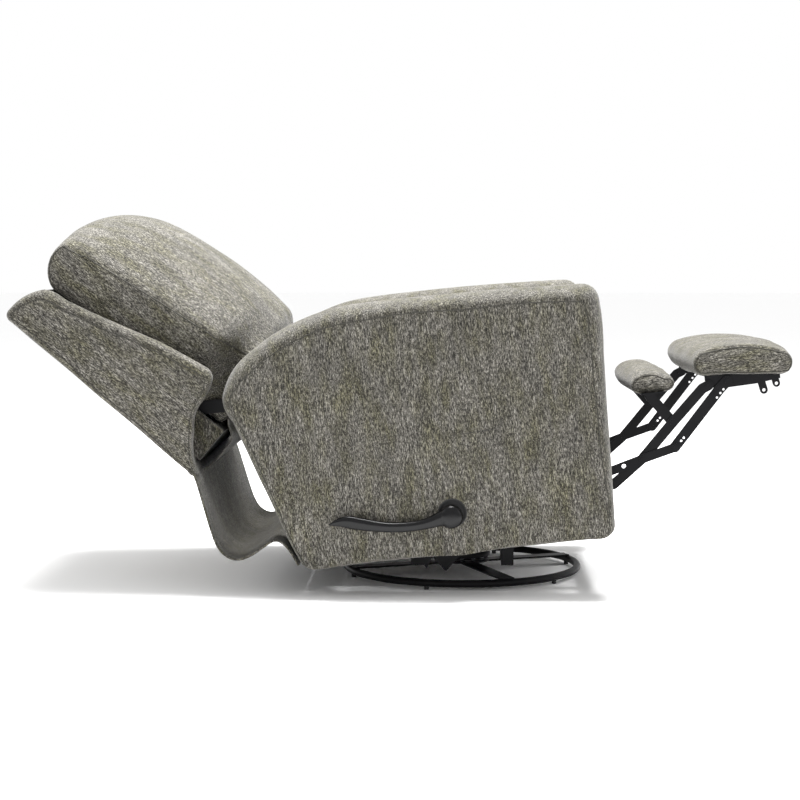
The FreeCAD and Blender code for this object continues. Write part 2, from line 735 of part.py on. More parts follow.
def back_springs():
    a = math.radians(BACK_ANGLE)
    along = V(math.cos(a), 0, math.sin(a))
    forward = V(math.sin(a), 0, -math.cos(a))
    foot = V(BACK_FOOT[0], 0, BACK_FOOT[1]) + forward * 92
    springs = []
    for row in range(-2, 3):
        outline = [foot + along * s + V(0, y, 0) for s, y in zigzag(45, 455, row * 90.0, 22, 12)]
        springs.append(Part.Face(Part.makePolygon(outline + outline[:1])).extrude(forward * 3))
    return Part.makeCompound(springs)


# Side of the outer back as arcs, in the tilted frame: ends and middles take turns
WING_OUTLINE = [
    (-522, 303), (-526, 303), (-527, 306), (-700, 490), (-872, 672), (-866, 679), (-858, 686), (-828, 712),
    (-786, 721), (-773, 716), (-749, 697), (-660, 642), (-565, 589), (-522, 560), (-478, 528), (-467, 514),
    (-469, 494), (-481, 473), (-499, 452), (-512, 431), (-518, 400), (-525, 360)]


def wing():
    """Padded side wing of the outer back, softened along its outer edges."""
    sections = []
    for y, depth in ((312, 4.0), (316, 0.5), (344, 0.5), (350, 5.0)):
        sections.append(ring_of_arcs(shrunk(WING_OUTLINE, depth), y))
    return Part.makeLoft(sections, True, False)


def back_shell():
    panel = back_prism([(0, 0), (508, 0), (508, 22), (0, 22)], -348, 348)
    left = wing()
    return join([panel, left, mirrored(left)])


def pillow_hollow():
    """Hollow at the rear of the upper pillow, for the loose fibre over the springs. Its walls are the foam."""
    wide = back_prism([(140, 99), (475, 99), (486, 150), (400, 174), (257, 195), (140, 205)], -270, 270)
    deep = back_prism([(140, 99), (480, 99), (500, 170), (465, 235), (400, 262), (257, 285), (140, 290)],
                      -180, 180)
    return join([wide, deep])


def back_pillow():
    rim = [(116, 100), (300, 100), (476, 100), (522, 146), (517, 192), (465, 203), (400, 214), (257, 235),
           (116, 247), (115, 175)]
    crown = [(116, 100), (300, 100), (484, 100), (545, 165), (540, 238), (483, 299), (403, 336), (260, 359),
             (116, 361), (115, 230)]
    upper = puffed([back_point(*p) for p in rim], [back_point(*p) for p in crown], 310, 11)
    low_rim = [(130, 100), (80, 100), (34, 100), (24, 175), (34, 250), (80, 258), (130, 262), (131, 180)]
    low_crown = [(130, 100), (80, 100), (34, 100), (20, 230), (40, 345), (84, 357), (130, 361), (131, 230)]
    lower = puffed([back_point(*p) for p in low_rim], [back_point(*p) for p in low_crown], 246, 10)
    frame_space = back_prism([(-20, 0), (600, 0), (600, 100.2), (-20, 100.2)], -400, 400)
    bracket_space = [bar([(-345, 405), (-455, 440), (-560, 440)], 30, y, y + 4) for y in (-251.3, 247.3)]
    return join([upper, lower]).cut([frame_space, pillow_hollow()] + bracket_space)


WORLD_NODES = (base_ring, base_feet, base_cross_brace, lower_swivel_plate, king_pin, swivel_balls, ball_cage,
               upper_swivel_plate, swivel_bars, swivel_cross_rails, swing_posts, swing_studs,
               front_swing_links, rear_swing_links)
CHAIR_NODES = (chair_base_rails, chair_cross_rails, glide_stop_plates, lower_swing_studs,
               mechanism_side_plates, side_plate_studs, mounting_blocks, front_ground_links, front_ground_pins,
               rear_ground_links, rear_ground_pins, crossing_links, crossing_link_rivets, long_links,
               long_link_rivets, outer_links, outer_link_rivets, ottoman_brackets, ottoman_board,
               ottoman_cushion, flipper_links, flipper_board, flipper_cushion, torque_tube, crank_arms,
               drive_links, handle_lever, handle_escutcheon, seat_side_rails, seat_cross_rails,
               seat_brackets, seat_springs, seat_cushion, arm_left, arm_right, arm_boards, rear_flap,
               flap_batten, back_brackets, back_side_rails, back_cross_rails, back_springs, back_shell,
               back_pillow)


def build():
    os.makedirs("parts", exist_ok=True)
    whole = FreeCAD.BoundBox()
    for tilted, makers in ((False, WORLD_NODES), (True, CHAIR_NODES)):
        for maker in makers:
            placed = save(maker.__name__, maker(), tilted)
            whole.add(placed.optimalBoundingBox(False, False))
            print(maker.__name__, len(placed.Solids), placed.isValid(), round(placed.Volume))
    print("box", [round(v, 2) for v in (whole.XMin, whole.XMax, whole.YMin, whole.YMax, whole.ZMin, whole.ZMax)])


build()
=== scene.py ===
import json
import math
import bmesh
import bpy
import numpy as np
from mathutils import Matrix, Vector, noise
from mathutils.bvhtree import BVHTree


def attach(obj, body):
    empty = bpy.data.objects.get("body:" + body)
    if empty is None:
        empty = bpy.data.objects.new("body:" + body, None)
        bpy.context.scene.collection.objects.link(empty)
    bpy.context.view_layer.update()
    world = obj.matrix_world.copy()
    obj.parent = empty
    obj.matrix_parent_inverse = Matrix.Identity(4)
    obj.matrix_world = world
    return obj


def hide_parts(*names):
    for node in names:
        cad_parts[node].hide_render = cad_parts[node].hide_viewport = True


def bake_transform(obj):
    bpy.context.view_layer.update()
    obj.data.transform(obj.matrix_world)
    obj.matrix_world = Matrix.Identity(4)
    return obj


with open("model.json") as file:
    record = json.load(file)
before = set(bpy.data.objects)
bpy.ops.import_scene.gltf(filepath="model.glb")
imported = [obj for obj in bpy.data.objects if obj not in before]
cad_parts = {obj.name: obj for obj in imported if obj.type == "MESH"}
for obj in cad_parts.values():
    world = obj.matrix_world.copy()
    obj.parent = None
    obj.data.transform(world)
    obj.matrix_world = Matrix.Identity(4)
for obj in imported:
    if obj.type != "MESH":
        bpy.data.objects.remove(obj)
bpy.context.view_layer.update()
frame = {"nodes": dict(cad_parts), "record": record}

# Swivel glider recliner: covers, seams, handle and finishes over the frame.
# Shapes are written in millimetres in the tilted frame of the chair body, as the parts are.
# Left sides are at positive y. Radii, depths and steps are in millimetres too.

MM = 0.001

# Middle of the base ring, and the turn of the chair body about a point above it
RING_X = 119.8
RING_Y = 15.0
TILT = math.radians(6.4)
TILT_Z = 94.0

# Lower end and lean of the back
BACK_FOOT = (-525.0, 303.0)
BACK_ANGLE = math.radians(133.56)


# Places

def place(x, y, z):
    """A point of the tilted chair body, in metres in the frame of the object."""
    dz = z - TILT_Z
    wx = x * math.cos(TILT) - dz * math.sin(TILT) + RING_X
    wz = TILT_Z + x * math.sin(TILT) + dz * math.cos(TILT)
    return Vector((wx * MM, (y + RING_Y) * MM, wz * MM))


def back_point(s, n):
    """A point of the leaned back, from the place along it and the depth in front of it."""
    x = BACK_FOOT[0] + s * math.cos(BACK_ANGLE) + n * math.sin(BACK_ANGLE)
    z = BACK_FOOT[1] + s * math.sin(BACK_ANGLE) - n * math.cos(BACK_ANGLE)
    return (x, z)


# Outlines

FLAT_ARC = 2.0                # an arc with less area than this is drawn straight
INSET_STEP = 2.5
OWN_SHARE, NEXT_SHARE = 0.8, 0.1    # smoothing of an inset: the point itself, each neighbour
SHARE_SPREAD = 4.0            # how softly the rounding changes from corner to corner


def arc_points(a, m, b, count):
    """Points from a up to b, but without b, on the arc through m."""
    ax, az, mx, mz, bx, bz = a[0], a[1], m[0], m[1], b[0], b[1]
    d = 2 * (ax * (mz - bz) + mx * (bz - az) + bx * (az - mz))
    if abs(d) < FLAT_ARC:
        return [(ax + (bx - ax) * i / count, az + (bz - az) * i / count) for i in range(count)]
    a2, m2, b2 = ax * ax + az * az, mx * mx + mz * mz, bx * bx + bz * bz
    cx = (a2 * (mz - bz) + m2 * (bz - az) + b2 * (az - mz)) / d
    cz = (a2 * (bx - mx) + m2 * (ax - bx) + b2 * (mx - ax)) / d
    radius = math.hypot(ax - cx, az - cz)
    start, middle, end = (math.atan2(p[1] - cz, p[0] - cx) for p in (a, m, b))
    turn = (end - start) % (2 * math.pi)
    if (middle - start) % (2 * math.pi) > turn:
        turn -= 2 * math.pi
    angles = [start + turn * i / count for i in range(count)]
    return [(cx + radius * math.cos(t), cz + radius * math.sin(t)) for t in angles]


def loop_of_arcs(points, spacing):
    """Closed outline from arcs. Even points are the ends of arcs, odd ones lie on them."""
    out = []
    count = len(points)
    for i in range(0, count, 2):
        a, m, b = points[i], points[i + 1], points[(i + 2) % count]
        length = math.hypot(m[0] - a[0], m[1] - a[1]) + math.hypot(b[0] - m[0], b[1] - m[1])
        out.extend(arc_points(a, m, b, max(2, round(length / spacing))))
    return out


def even_loop(points, count):
    """The closed outline with its points spread evenly."""
    p = np.array(points + points[:1], float)
    run = np.concatenate([[0], np.cumsum(np.hypot(*np.diff(p, axis=0).T))])
    at = np.linspace(0, run[-1], count, endpoint=False)
    return np.stack([np.interp(at, run, p[:, 0]), np.interp(at, run, p[:, 1])], axis=1)


def even_line(points, spacing):
    """The open line with its points spread evenly, in any number of dimensions."""
    p = np.array(points, float)
    run = np.concatenate([[0], np.cumsum(np.linalg.norm(np.diff(p, axis=0), axis=1))])
    at = np.linspace(0, run[-1], max(2, int(run[-1] / spacing)))
    return np.stack([np.interp(at, run, p[:, k]) for k in range(p.shape[1])], axis=1)


def smooth_line(points, passes=3):
    """Corner cutting that keeps the ends."""
    p = [np.array(q, float) for q in points]
    for _ in range(passes):
        cut = [p[0]]
        for a, b in zip(p, p[1:]):
            cut.extend([a * 0.75 + b * 0.25, a * 0.25 + b * 0.75])
        cut.append(p[-1])
        p = cut
    return p


def line_normals(line):
    """Unit normals of an open line."""
    along = np.gradient(line, axis=0)
    normal = np.stack([-along[:, 1], along[:, 0]], axis=1)
    return normal / np.linalg.norm(normal, axis=1, keepdims=True)


def inward(loop):
    """Unit normals of a closed outline, pointing to its inside."""
    ahead, behind = np.roll(loop, -1, axis=0), np.roll(loop, 1, axis=0)
    along = ahead - behind
    normal = np.stack([-along[:, 1], along[:, 0]], axis=1)
    normal /= np.maximum(np.linalg.norm(normal, axis=1, keepdims=True), 1e-9)
    area = np.sum(loop[:, 0] * ahead[:, 1] - ahead[:, 0] * loop[:, 1])
    return normal if area > 0 else -normal


def inset(loop, depth):
    """The outline moved inwards by a depth for each point, in small smoothed steps."""
    steps = max(1, int(np.max(depth) / INSET_STEP))
    for _ in range(steps):
        loop = loop + inward(loop) * (depth / steps)[:, None]
        beside = np.roll(loop, 1, axis=0) + np.roll(loop, -1, axis=0)
        loop = loop * OWN_SHARE + beside * NEXT_SHARE
    return loop


def rounded_loop(outline, spacing, count):
    """An even outline and, for each point, how much of the edge rounding it takes."""
    corners = [p for p, _ in outline]
    loop = even_loop(loop_of_arcs(corners, spacing), count)
    shares = np.array([share for _, share in outline])
    gap = np.linalg.norm(loop[:, None, :] - np.array(corners, float)[None, :, :], axis=2)
    weight = 1.0 / (gap + SHARE_SPREAD) ** 2
    return loop, (weight * shares).sum(axis=1) / weight.sum(axis=1)


# Meshes

WELD = 0.00002                # metres
BATCH = 4000                  # points compared with a seam at a time
CORD_SIDES = 8


def new_piece(name, verts, faces, body, material):
    """A smooth mesh object of one material that belongs to a body."""
    mesh = bpy.data.meshes.new(name)
    mesh.from_pydata([tuple(v) for v in verts], [], faces)
    bm = bmesh.new()
    bm.from_mesh(mesh)
    bmesh.ops.remove_doubles(bm, verts=bm.verts, dist=WELD)
    bmesh.ops.recalc_face_normals(bm, faces=bm.faces)
    bm.to_mesh(mesh)
    bm.free()
    mesh.shade_smooth()
    mesh.materials.append(material)
    obj = bpy.data.objects.new(name, mesh)
    bpy.context.scene.collection.objects.link(obj)
    obj["body"] = body
    return obj


def finish_piece(obj, slot, *nodes):
    """Puts the piece on its body and hides the nodes that it replaces. The slot is not used."""
    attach(obj, obj["body"])
    if nodes:
        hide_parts(*nodes)


def skin(rings, closed_ends=True):
    """Vertices and faces over rings of the same count. Each end closes on its middle point."""
    count = len(rings[0])
    verts = [v for ring in rings for v in ring]
    faces = []
    for r in range(len(rings) - 1):
        for i in range(count):
            a, b = r * count + i, r * count + (i + 1) % count
            faces.append((a, b, b + count, a + count))
    if closed_ends:
        for r in (0, len(rings) - 1):
            verts.append(sum((Vector(v) for v in rings[r]), Vector()) / count)
            tip = len(verts) - 1
            faces.extend((r * count + i, r * count + (i + 1) % count, tip) for i in range(count))
    return verts, faces


def double_faces(rows, columns):
    """Faces of two grids of points, front and rear, that are closed along their four edges."""
    width = columns + 1
    grid = rows * width
    faces = []
    for side in (0, 1):
        for i in range(rows - 1):
            for j in range(columns):
                a = side * grid + i * width + j
                faces.append((a, a + 1, a + width + 1, a + width))
    for i in range(rows - 1):
        for a in (i * width, i * width + columns):
            faces.append((a, a + width, a + width + grid, a + grid))
    for j in range(columns):
        for a in (j, (rows - 1) * width + j):
            faces.append((a, a + 1, a + 1 + grid, a + grid))
    return faces


def ring_at(loop, y):
    return [place(x, y, z) for x, z in loop]


def soft_noise(point, size, seed):
    """Smooth value from -1 to 1 that depends only on the place, with features of a size."""
    x, y, z = (c / size for c in point)
    return noise.noise(Vector((x + seed, y - seed, z + seed * 2)))


def rumple(obj, depth, size, seed):
    """Gentle unevenness of stuffing under cloth, along the normals."""
    mesh = obj.data
    normals = [v.normal.copy() for v in mesh.vertices]
    for v, n in zip(mesh.vertices, normals):
        v.co += n * depth * soft_noise(v.co, size, seed)


def groove(obj, path, depth, width):
    """Pulls the cloth in along a seam."""
    mesh = obj.data
    line = np.array([tuple(p) for p in path])
    co = np.array([tuple(v.co) for v in mesh.vertices])
    near = np.full(len(co), 1e9)
    for start in range(0, len(co), BATCH):
        part = co[start:start + BATCH]
        gap = np.linalg.norm(part[:, None, :] - line[None, :, :], axis=2)
        near[start:start + BATCH] = gap.min(axis=1)
    normals = [v.normal.copy() for v in mesh.vertices]
    for i in np.nonzero(near < width)[0]:
        pull = (1 - near[i] / width) ** 2
        mesh.vertices[i].co -= normals[i] * depth * pull


def snapped(obj, path, sink=0.0):
    """The path laid on the skin of a piece, sunk by a depth."""
    mesh = obj.data
    tree = BVHTree.FromPolygons([v.co.copy() for v in mesh.vertices],
                                [tuple(p.vertices) for p in mesh.polygons])
    out = []
    for point in path:
        hit, normal, _, _ = tree.find_nearest(Vector(point))
        out.append(hit - normal * sink)
    return out


def cord(name, path, radius, body, material):
    """Round cord along an open path, such as the thread in a seam."""
    path = [Vector(p) for p in path]
    turns = [2 * math.pi * k / CORD_SIDES for k in range(CORD_SIDES)]
    rings = []
    for i, point in enumerate(path):
        along = (path[min(i + 1, len(path) - 1)] - path[max(i - 1, 0)]).normalized()
        side = along.cross(Vector((0, 1, 0)))
        if side.length < 0.1:       # the path runs along y here
            side = along.cross(Vector((0, 0, 1)))
        side.normalize()
        other = side.cross(along)
        rings.append([point + (side * math.cos(a) + other * math.sin(a)) * radius
                      for a in turns])
    return new_piece(name, *skin(rings), body, material)


def apply_modifiers(obj):
    """Puts the evaluated mesh in place of the object's mesh and its modifiers."""
    bpy.context.view_layer.update()
    depsgraph = bpy.context.evaluated_depsgraph_get()
    made = bpy.data.meshes.new_from_object(obj.evaluated_get(depsgraph))
    obj.modifiers.clear()
    obj.data = made


# Nodes

# Sockets of a colour mix by place, because their names repeat
MIX_FACTOR, MIX_A, MIX_B, MIX_RESULT = 0, 6, 7, 2


def linear(code):
    """Linear colour from an sRGB hex value."""
    values = [int(code[i:i + 2], 16) / 255 for i in (0, 2, 4)]
    return tuple(v / 12.92 if v <= 0.04045 else ((v + 0.055) / 1.055) ** 2.4
                 for v in values) + (1.0,)


def node(tree, kind, inputs=None, stops=(), **settings):
    """Adds a node with its settings, its input values or links, and the stops of a ramp."""
    made = tree.nodes.new(kind)
    for key, value in settings.items():
        setattr(made, key, value)
    for key, value in (inputs or {}).items():
        if isinstance(value, bpy.types.NodeSocket):
            tree.links.new(value, made.inputs[key])
        else:
            made.inputs[key].default_value = value
    if stops:
        elements = made.color_ramp.elements
        while len(elements) < len(stops):
            elements.new(0.5)
        for element, (at, code) in zip(elements, stops):
            element.position = at
            element.color = linear(code)
    return made


# Materials

def blank_material(name):
    """A new material, its tree, its surface shader and the place on the object."""
    material = bpy.data.materials.new(name)
    material.use_nodes = True
    tree = material.node_tree
    place_in = node(tree, "ShaderNodeTexCoord").outputs["Object"]
    return material, tree, tree.nodes["Principled BSDF"], place_in


# Noise layers: length share across the grain, size of a feature, detail, roughness
CHENILLE_NOISE = [
    (0.24, 1.9, 2.0, 0.7),      # yarn
    (0.55, 1.8, 1.0, 0.55),     # fleck
    (0.07, 5.0, 2.0, 0.55),     # slub
    (0.45, 52.0, 4.0, 0.65),    # patch
    (0.30, 24.0, 3.0, 0.6)]     # tint
GREY_PILE = [(0.32, "1a1916"), (0.44, "43413c"), (0.55, "65625c"), (0.68, "a19e96")]
OLIVE_PILE = [(0.32, "171611"), (0.44, "37352a"), (0.55, "555243"), (0.69, "89866f")]
PALE_FLECK = "8f8b80"
DARK_FLECK = "1e1c18"


def chenille(name, grain, shade=1.0):
    """Heathered chenille: short pile yarn in grey and olive, drawn out along the grain, with
    pale and dark flecks. The yarn is 1.2 mm thick in the cloth and drawn at 1.9 mm, so that
    it shows."""
    material, tree, surface, place_in = blank_material(name)
    turned = node(tree, "ShaderNodeMapping", {
        "Vector": place_in, "Rotation": (0.0, grain, 0.0)}).outputs["Vector"]
    layers = []
    for stretch, size, detail, rough in CHENILLE_NOISE:
        drawn = node(tree, "ShaderNodeVectorMath", {0: turned, 1: (1.0, 1.0, stretch)},
                     operation="MULTIPLY").outputs["Vector"]
        layers.append(node(tree, "ShaderNodeTexNoise", {
            "Vector": drawn, "Scale": 1000.0 / size, "Detail": detail,
            "Roughness": rough}).outputs["Fac"])
    yarn, fleck, slub, patch, tint = layers
    grey = node(tree, "ShaderNodeValToRGB", {"Fac": yarn}, GREY_PILE).outputs["Color"]
    olive = node(tree, "ShaderNodeValToRGB", {"Fac": yarn}, OLIVE_PILE).outputs["Color"]
    hue = node(tree, "ShaderNodeMapRange", {
        "Value": tint, "From Min": 0.42, "From Max": 0.66}).outputs["Result"]
    pale = node(tree, "ShaderNodeMapRange", {
        "Value": fleck, "From Min": 0.60, "From Max": 0.76}).outputs["Result"]
    dark = node(tree, "ShaderNodeMapRange", {
        "Value": fleck, "From Min": 0.40, "From Max": 0.30}).outputs["Result"]
    bars = node(tree, "ShaderNodeMapRange", {
        "Value": slub, "From Min": 0.35, "From Max": 0.65,
        "To Min": 0.59, "To Max": 0.80}).outputs["Result"]
    # A shade under 1 darkens the whole cloth evenly: painted shade, for the copy that goes on
    # cloth lying in shadow.
    wide = node(tree, "ShaderNodeMapRange", {
        "Value": patch, "From Min": 0.35, "From Max": 0.65,
        "To Min": 0.80 * shade, "To Max": 1.14 * shade}).outputs["Result"]
    level = node(tree, "ShaderNodeMath", {0: bars, 1: wide},
                 operation="MULTIPLY").outputs["Value"]
    tone = node(tree, "ShaderNodeCombineColor", {0: level, 1: level, 2: level}).outputs["Color"]
    base = grey
    for factor, colour, mode in ((hue, olive, "MIX"), (pale, linear(PALE_FLECK), "MIX"),
                                 (dark, linear(DARK_FLECK), "MIX"), (1.0, tone, "MULTIPLY")):
        base = node(tree, "ShaderNodeMix", {MIX_FACTOR: factor, MIX_A: base, MIX_B: colour},
                    data_type="RGBA", blend_type=mode).outputs[MIX_RESULT]
    tree.links.new(base, surface.inputs["Base Color"])
    height = node(tree, "ShaderNodeMath", {0: yarn, 1: fleck}, operation="ADD").outputs["Value"]
    bump = node(tree, "ShaderNodeBump", {
        "Height": height, "Strength": 0.55, "Distance": 0.0012}).outputs["Normal"]
    tree.links.new(bump, surface.inputs["Normal"])
    surface.inputs["Roughness"].default_value = 0.92
    surface.inputs["Specular IOR Level"].default_value = 0.2
    surface.inputs["Sheen Weight"].default_value = 0.12
    surface.inputs["Sheen Roughness"].default_value = 0.5
    return material


def seam_thread():
    """Dark polyester thread sunk in a seam: nearly black green grey, slightly glossy twist."""
    material, tree, surface, place_in = blank_material("seam_thread_polyester")
    twist = node(tree, "ShaderNodeTexNoise", {
        "Vector": place_in, "Scale": 900.0}).outputs["Fac"]
    colour = node(tree, "ShaderNodeValToRGB", {"Fac": twist},
                  [(0.3, "1c1b17"), (0.7, "35332b")]).outputs["Color"]
    tree.links.new(colour, surface.inputs["Base Color"])
    surface.inputs["Roughness"].default_value = 0.8
    return material


def powder_coat():
    """Black powder coat on pressed steel: even, satin, with a faint orange peel."""
    material, tree, surface, place_in = blank_material("powder_coated_steel")
    peel = node(tree, "ShaderNodeTexNoise", {
        "Vector": place_in, "Scale": 420.0, "Detail": 2.0}).outputs["Fac"]
    wear = node(tree, "ShaderNodeTexNoise", {
        "Vector": place_in, "Scale": 38.0, "Detail": 5.0}).outputs["Fac"]
    colour = node(tree, "ShaderNodeValToRGB", {"Fac": wear},
                  [(0.35, "08080a"), (0.7, "0f0f11")]).outputs["Color"]
    tree.links.new(colour, surface.inputs["Base Color"])
    rough = node(tree, "ShaderNodeMapRange", {
        "Value": wear, "To Min": 0.36, "To Max": 0.52}).outputs["Result"]
    tree.links.new(rough, surface.inputs["Roughness"])
    bump = node(tree, "ShaderNodeBump", {
        "Height": peel, "Strength": 0.12, "Distance": 0.0004}).outputs["Normal"]
    tree.links.new(bump, surface.inputs["Normal"])
    surface.inputs["Specular IOR Level"].default_value = 0.12
    return material


def zinc_steel():
    """Zinc plated pins and spring wire: dull bright grey with a fine drawn grain."""
    material, tree, surface, place_in = blank_material("zinc_plated_steel")
    grain = node(tree, "ShaderNodeTexNoise", {
        "Vector": place_in, "Scale": 300.0, "Detail": 4.0}).outputs["Fac"]
    colour = node(tree, "ShaderNodeValToRGB", {"Fac": grain},
                  [(0.3, "8d8f92"), (0.7, "b9bbbd")]).outputs["Color"]
    tree.links.new(colour, surface.inputs["Base Color"])
    rough = node(tree, "ShaderNodeMapRange", {
        "Value": grain, "To Min": 0.25, "To Max": 0.45}).outputs["Result"]
    tree.links.new(rough, surface.inputs["Roughness"])
    surface.inputs["Metallic"].default_value = 1.0
    return material


def handle_plastic():
    """Moulded black ABS: glossy, with very slight flow unevenness and fine scuffs."""
    material, tree, surface, place_in = blank_material("moulded_black_abs")
    flow = node(tree, "ShaderNodeTexNoise", {
        "Vector": place_in, "Scale": 60.0, "Detail": 3.0}).outputs["Fac"]
    colour = node(tree, "ShaderNodeValToRGB", {"Fac": flow},
                  [(0.3, "070708"), (0.7, "0c0c0d")]).outputs["Color"]
    tree.links.new(colour, surface.inputs["Base Color"])
    rough = node(tree, "ShaderNodeMapRange", {
        "Value": flow, "To Min": 0.20, "To Max": 0.28}).outputs["Result"]
    tree.links.new(rough, surface.inputs["Roughness"])
    bump = node(tree, "ShaderNodeBump", {
        "Height": flow, "Strength": 0.03, "Distance": 0.001}).outputs["Normal"]
    tree.links.new(bump, surface.inputs["Normal"])
    surface.inputs["Specular IOR Level"].default_value = 0.2
    return material


def foot_nylon():
    """Matte black nylon glides under the ring."""
    material, tree, surface, place_in = blank_material("matte_black_nylon")
    grit = node(tree, "ShaderNodeTexNoise", {
        "Vector": place_in, "Scale": 700.0}).outputs["Fac"]
    colour = node(tree, "ShaderNodeValToRGB", {"Fac": grit},
                  [(0.3, "0a0a0a"), (0.7, "121212")]).outputs["Color"]
    tree.links.new(colour, surface.inputs["Base Color"])
    bump = node(tree, "ShaderNodeBump", {
        "Height": grit, "Strength": 0.2, "Distance": 0.0003}).outputs["Normal"]
    tree.links.new(bump, surface.inputs["Normal"])
    surface.inputs["Roughness"].default_value = 0.7
    return material


def cambric():
    """Black spun lining cloth on the boards and the batten: matte, with a fine dimpled bond."""
    material, tree, surface, place_in = blank_material("black_cambric_lining")
    dimple = node(tree, "ShaderNodeTexVoronoi", {
        "Vector": place_in, "Scale": 620.0}).outputs["Distance"]
    colour = node(tree, "ShaderNodeValToRGB", {"Fac": dimple},
                  [(0.1, "121212"), (0.7, "232323")]).outputs["Color"]
    tree.links.new(colour, surface.inputs["Base Color"])
    bump = node(tree, "ShaderNodeBump", {
        "Height": dimple, "Strength": 0.3, "Distance": 0.0003}).outputs["Normal"]
    tree.links.new(bump, surface.inputs["Normal"])
    surface.inputs["Roughness"].default_value = 0.95
    return material


def plywood():
    """Poplar ply and pine rails: pale, with a fine grain along x."""
    material, tree, surface, place_in = blank_material("poplar_plywood")
    drawn = node(tree, "ShaderNodeMapping", {
        "Vector": place_in, "Scale": (6.0, 60.0, 60.0)}).outputs["Vector"]
    grain = node(tree, "ShaderNodeTexNoise", {
        "Vector": drawn, "Scale": 2.2, "Detail": 6.0, "Distortion": 0.6}).outputs["Fac"]
    colour = node(tree, "ShaderNodeValToRGB", {"Fac": grain},
                  [(0.3, "a98a5e"), (0.55, "c9ab7c"), (0.75, "dcc398")]).outputs["Color"]
    tree.links.new(colour, surface.inputs["Base Color"])
    bump = node(tree, "ShaderNodeBump", {
        "Height": grain, "Strength": 0.15, "Distance": 0.0005}).outputs["Normal"]
    tree.links.new(bump, surface.inputs["Normal"])
    surface.inputs["Roughness"].default_value = 0.65
    return material


ARM_CLOTH = chenille("chenille_arms", TILT)
BACK_CLOTH = chenille("chenille_back", TILT + BACK_ANGLE - math.pi / 2)
SEAT_CLOTH = chenille("chenille_seat", TILT - math.pi / 2)
# A darker copy of the same chenille: painted shade for the inside of the flap, the end cloths of
# the back and the clothed rails, which lie in shadow.
PAINTED_SHADE_CHENILLE = chenille("chenille_painted_shade", TILT, 0.88)
THREAD = seam_thread()
STEEL = powder_coat()
ZINC = zinc_steel()
ABS = handle_plastic()
NYLON = foot_nylon()
PLY = plywood()
LINING = cambric()


# Seams

SEAM_STEP = 4.0
THREAD_RADIUS = 1.1
THREAD_RISE = 0.1             # of the thread's middle over the cloth
STITCH_SIZES = {"Pitch": 4.0, "Length": 1.5, "Thread": 0.45}    # the last two are half sizes


def stitch_tree(material):
    """Node tree that sets beads of thread along a line of edges, and its size sockets."""
    tree = bpy.data.node_groups.new("stitches", "GeometryNodeTree")
    tree.interface.new_socket("Geometry", in_out="INPUT", socket_type="NodeSocketGeometry")
    sockets = {name: tree.interface.new_socket(name, in_out="INPUT",
                                               socket_type="NodeSocketFloat").identifier
               for name in STITCH_SIZES}
    tree.interface.new_socket("Geometry", in_out="OUTPUT", socket_type="NodeSocketGeometry")
    given = node(tree, "NodeGroupInput").outputs
    curve = node(tree, "GeometryNodeMeshToCurve", {"Mesh": given["Geometry"]})
    spaced = node(tree, "GeometryNodeResampleCurve", {
        "Curve": curve.outputs["Curve"], "Length": given["Pitch"]}, mode="LENGTH")
    capture = node(tree, "GeometryNodeCaptureAttribute", {"Geometry": spaced.outputs["Curve"]})
    capture.capture_items.new("VECTOR", "Along")
    tangent = node(tree, "GeometryNodeInputTangent")
    tree.links.new(tangent.outputs["Tangent"], capture.inputs["Along"])
    bead = node(tree, "GeometryNodeMeshIcoSphere", {"Subdivisions": 1, "Radius": 1.0})
    turned = node(tree, "FunctionNodeAlignEulerToVector", {
        "Vector": capture.outputs["Along"]}, axis="X")
    size = node(tree, "ShaderNodeCombineXYZ", {
        "X": given["Length"], "Y": given["Thread"], "Z": given["Thread"]})
    row = node(tree, "GeometryNodeInstanceOnPoints", {
        "Points": capture.outputs["Geometry"], "Instance": bead.outputs["Mesh"],
        "Rotation": turned.outputs["Rotation"], "Scale": size.outputs["Vector"]})
    real = node(tree, "GeometryNodeRealizeInstances", {"Geometry": row.outputs["Instances"]})
    paint = node(tree, "GeometryNodeSetMaterial", {
        "Geometry": real.outputs["Geometry"], "Material": material})
    node(tree, "NodeGroupOutput", {"Geometry": paint.outputs["Geometry"]})
    return tree, sockets


STITCHES, STITCH_SOCKETS = stitch_tree(THREAD)


def stitch_row(name, path, body):
    """Row of stitches along a path."""
    mesh = bpy.data.meshes.new(name + "_path")
    edges = [(i, i + 1) for i in range(len(path) - 1)]
    mesh.from_pydata([tuple(p) for p in path], edges, [])
    obj = bpy.data.objects.new(name, mesh)
    bpy.context.scene.collection.objects.link(obj)
    modifier = obj.modifiers.new("stitches", "NODES")
    modifier.node_group = STITCHES
    for size, value in STITCH_SIZES.items():
        modifier[STITCH_SOCKETS[size]] = value * MM
    apply_modifiers(obj)
    obj.data.shade_smooth()
    obj["body"] = body
    finish_piece(obj, "cover_fabric")


def sewn(name, cover, path, body, depth=2.2, width=9.0):
    """A seam: the cloth drawn in along it and a dark thread in the fold. Gives its line."""
    laid = snapped(cover, path)
    groove(cover, laid, depth * MM, width * MM)
    laid = snapped(cover, laid, -THREAD_RISE * MM)
    finish_piece(cord(name, laid, THREAD_RADIUS * MM, body, THREAD), "cover_fabric")
    return laid


# Swelling of the stuffed pieces

STUFFING = {"quality": 4, "mass": 0.4, "tension_stiffness": 22, "compression_stiffness": 22,
            "shear_stiffness": 8, "bending_stiffness": 1.2, "use_pressure": True,
            "uniform_pressure_force": 4.0}
STUFFING_FRAMES = 20


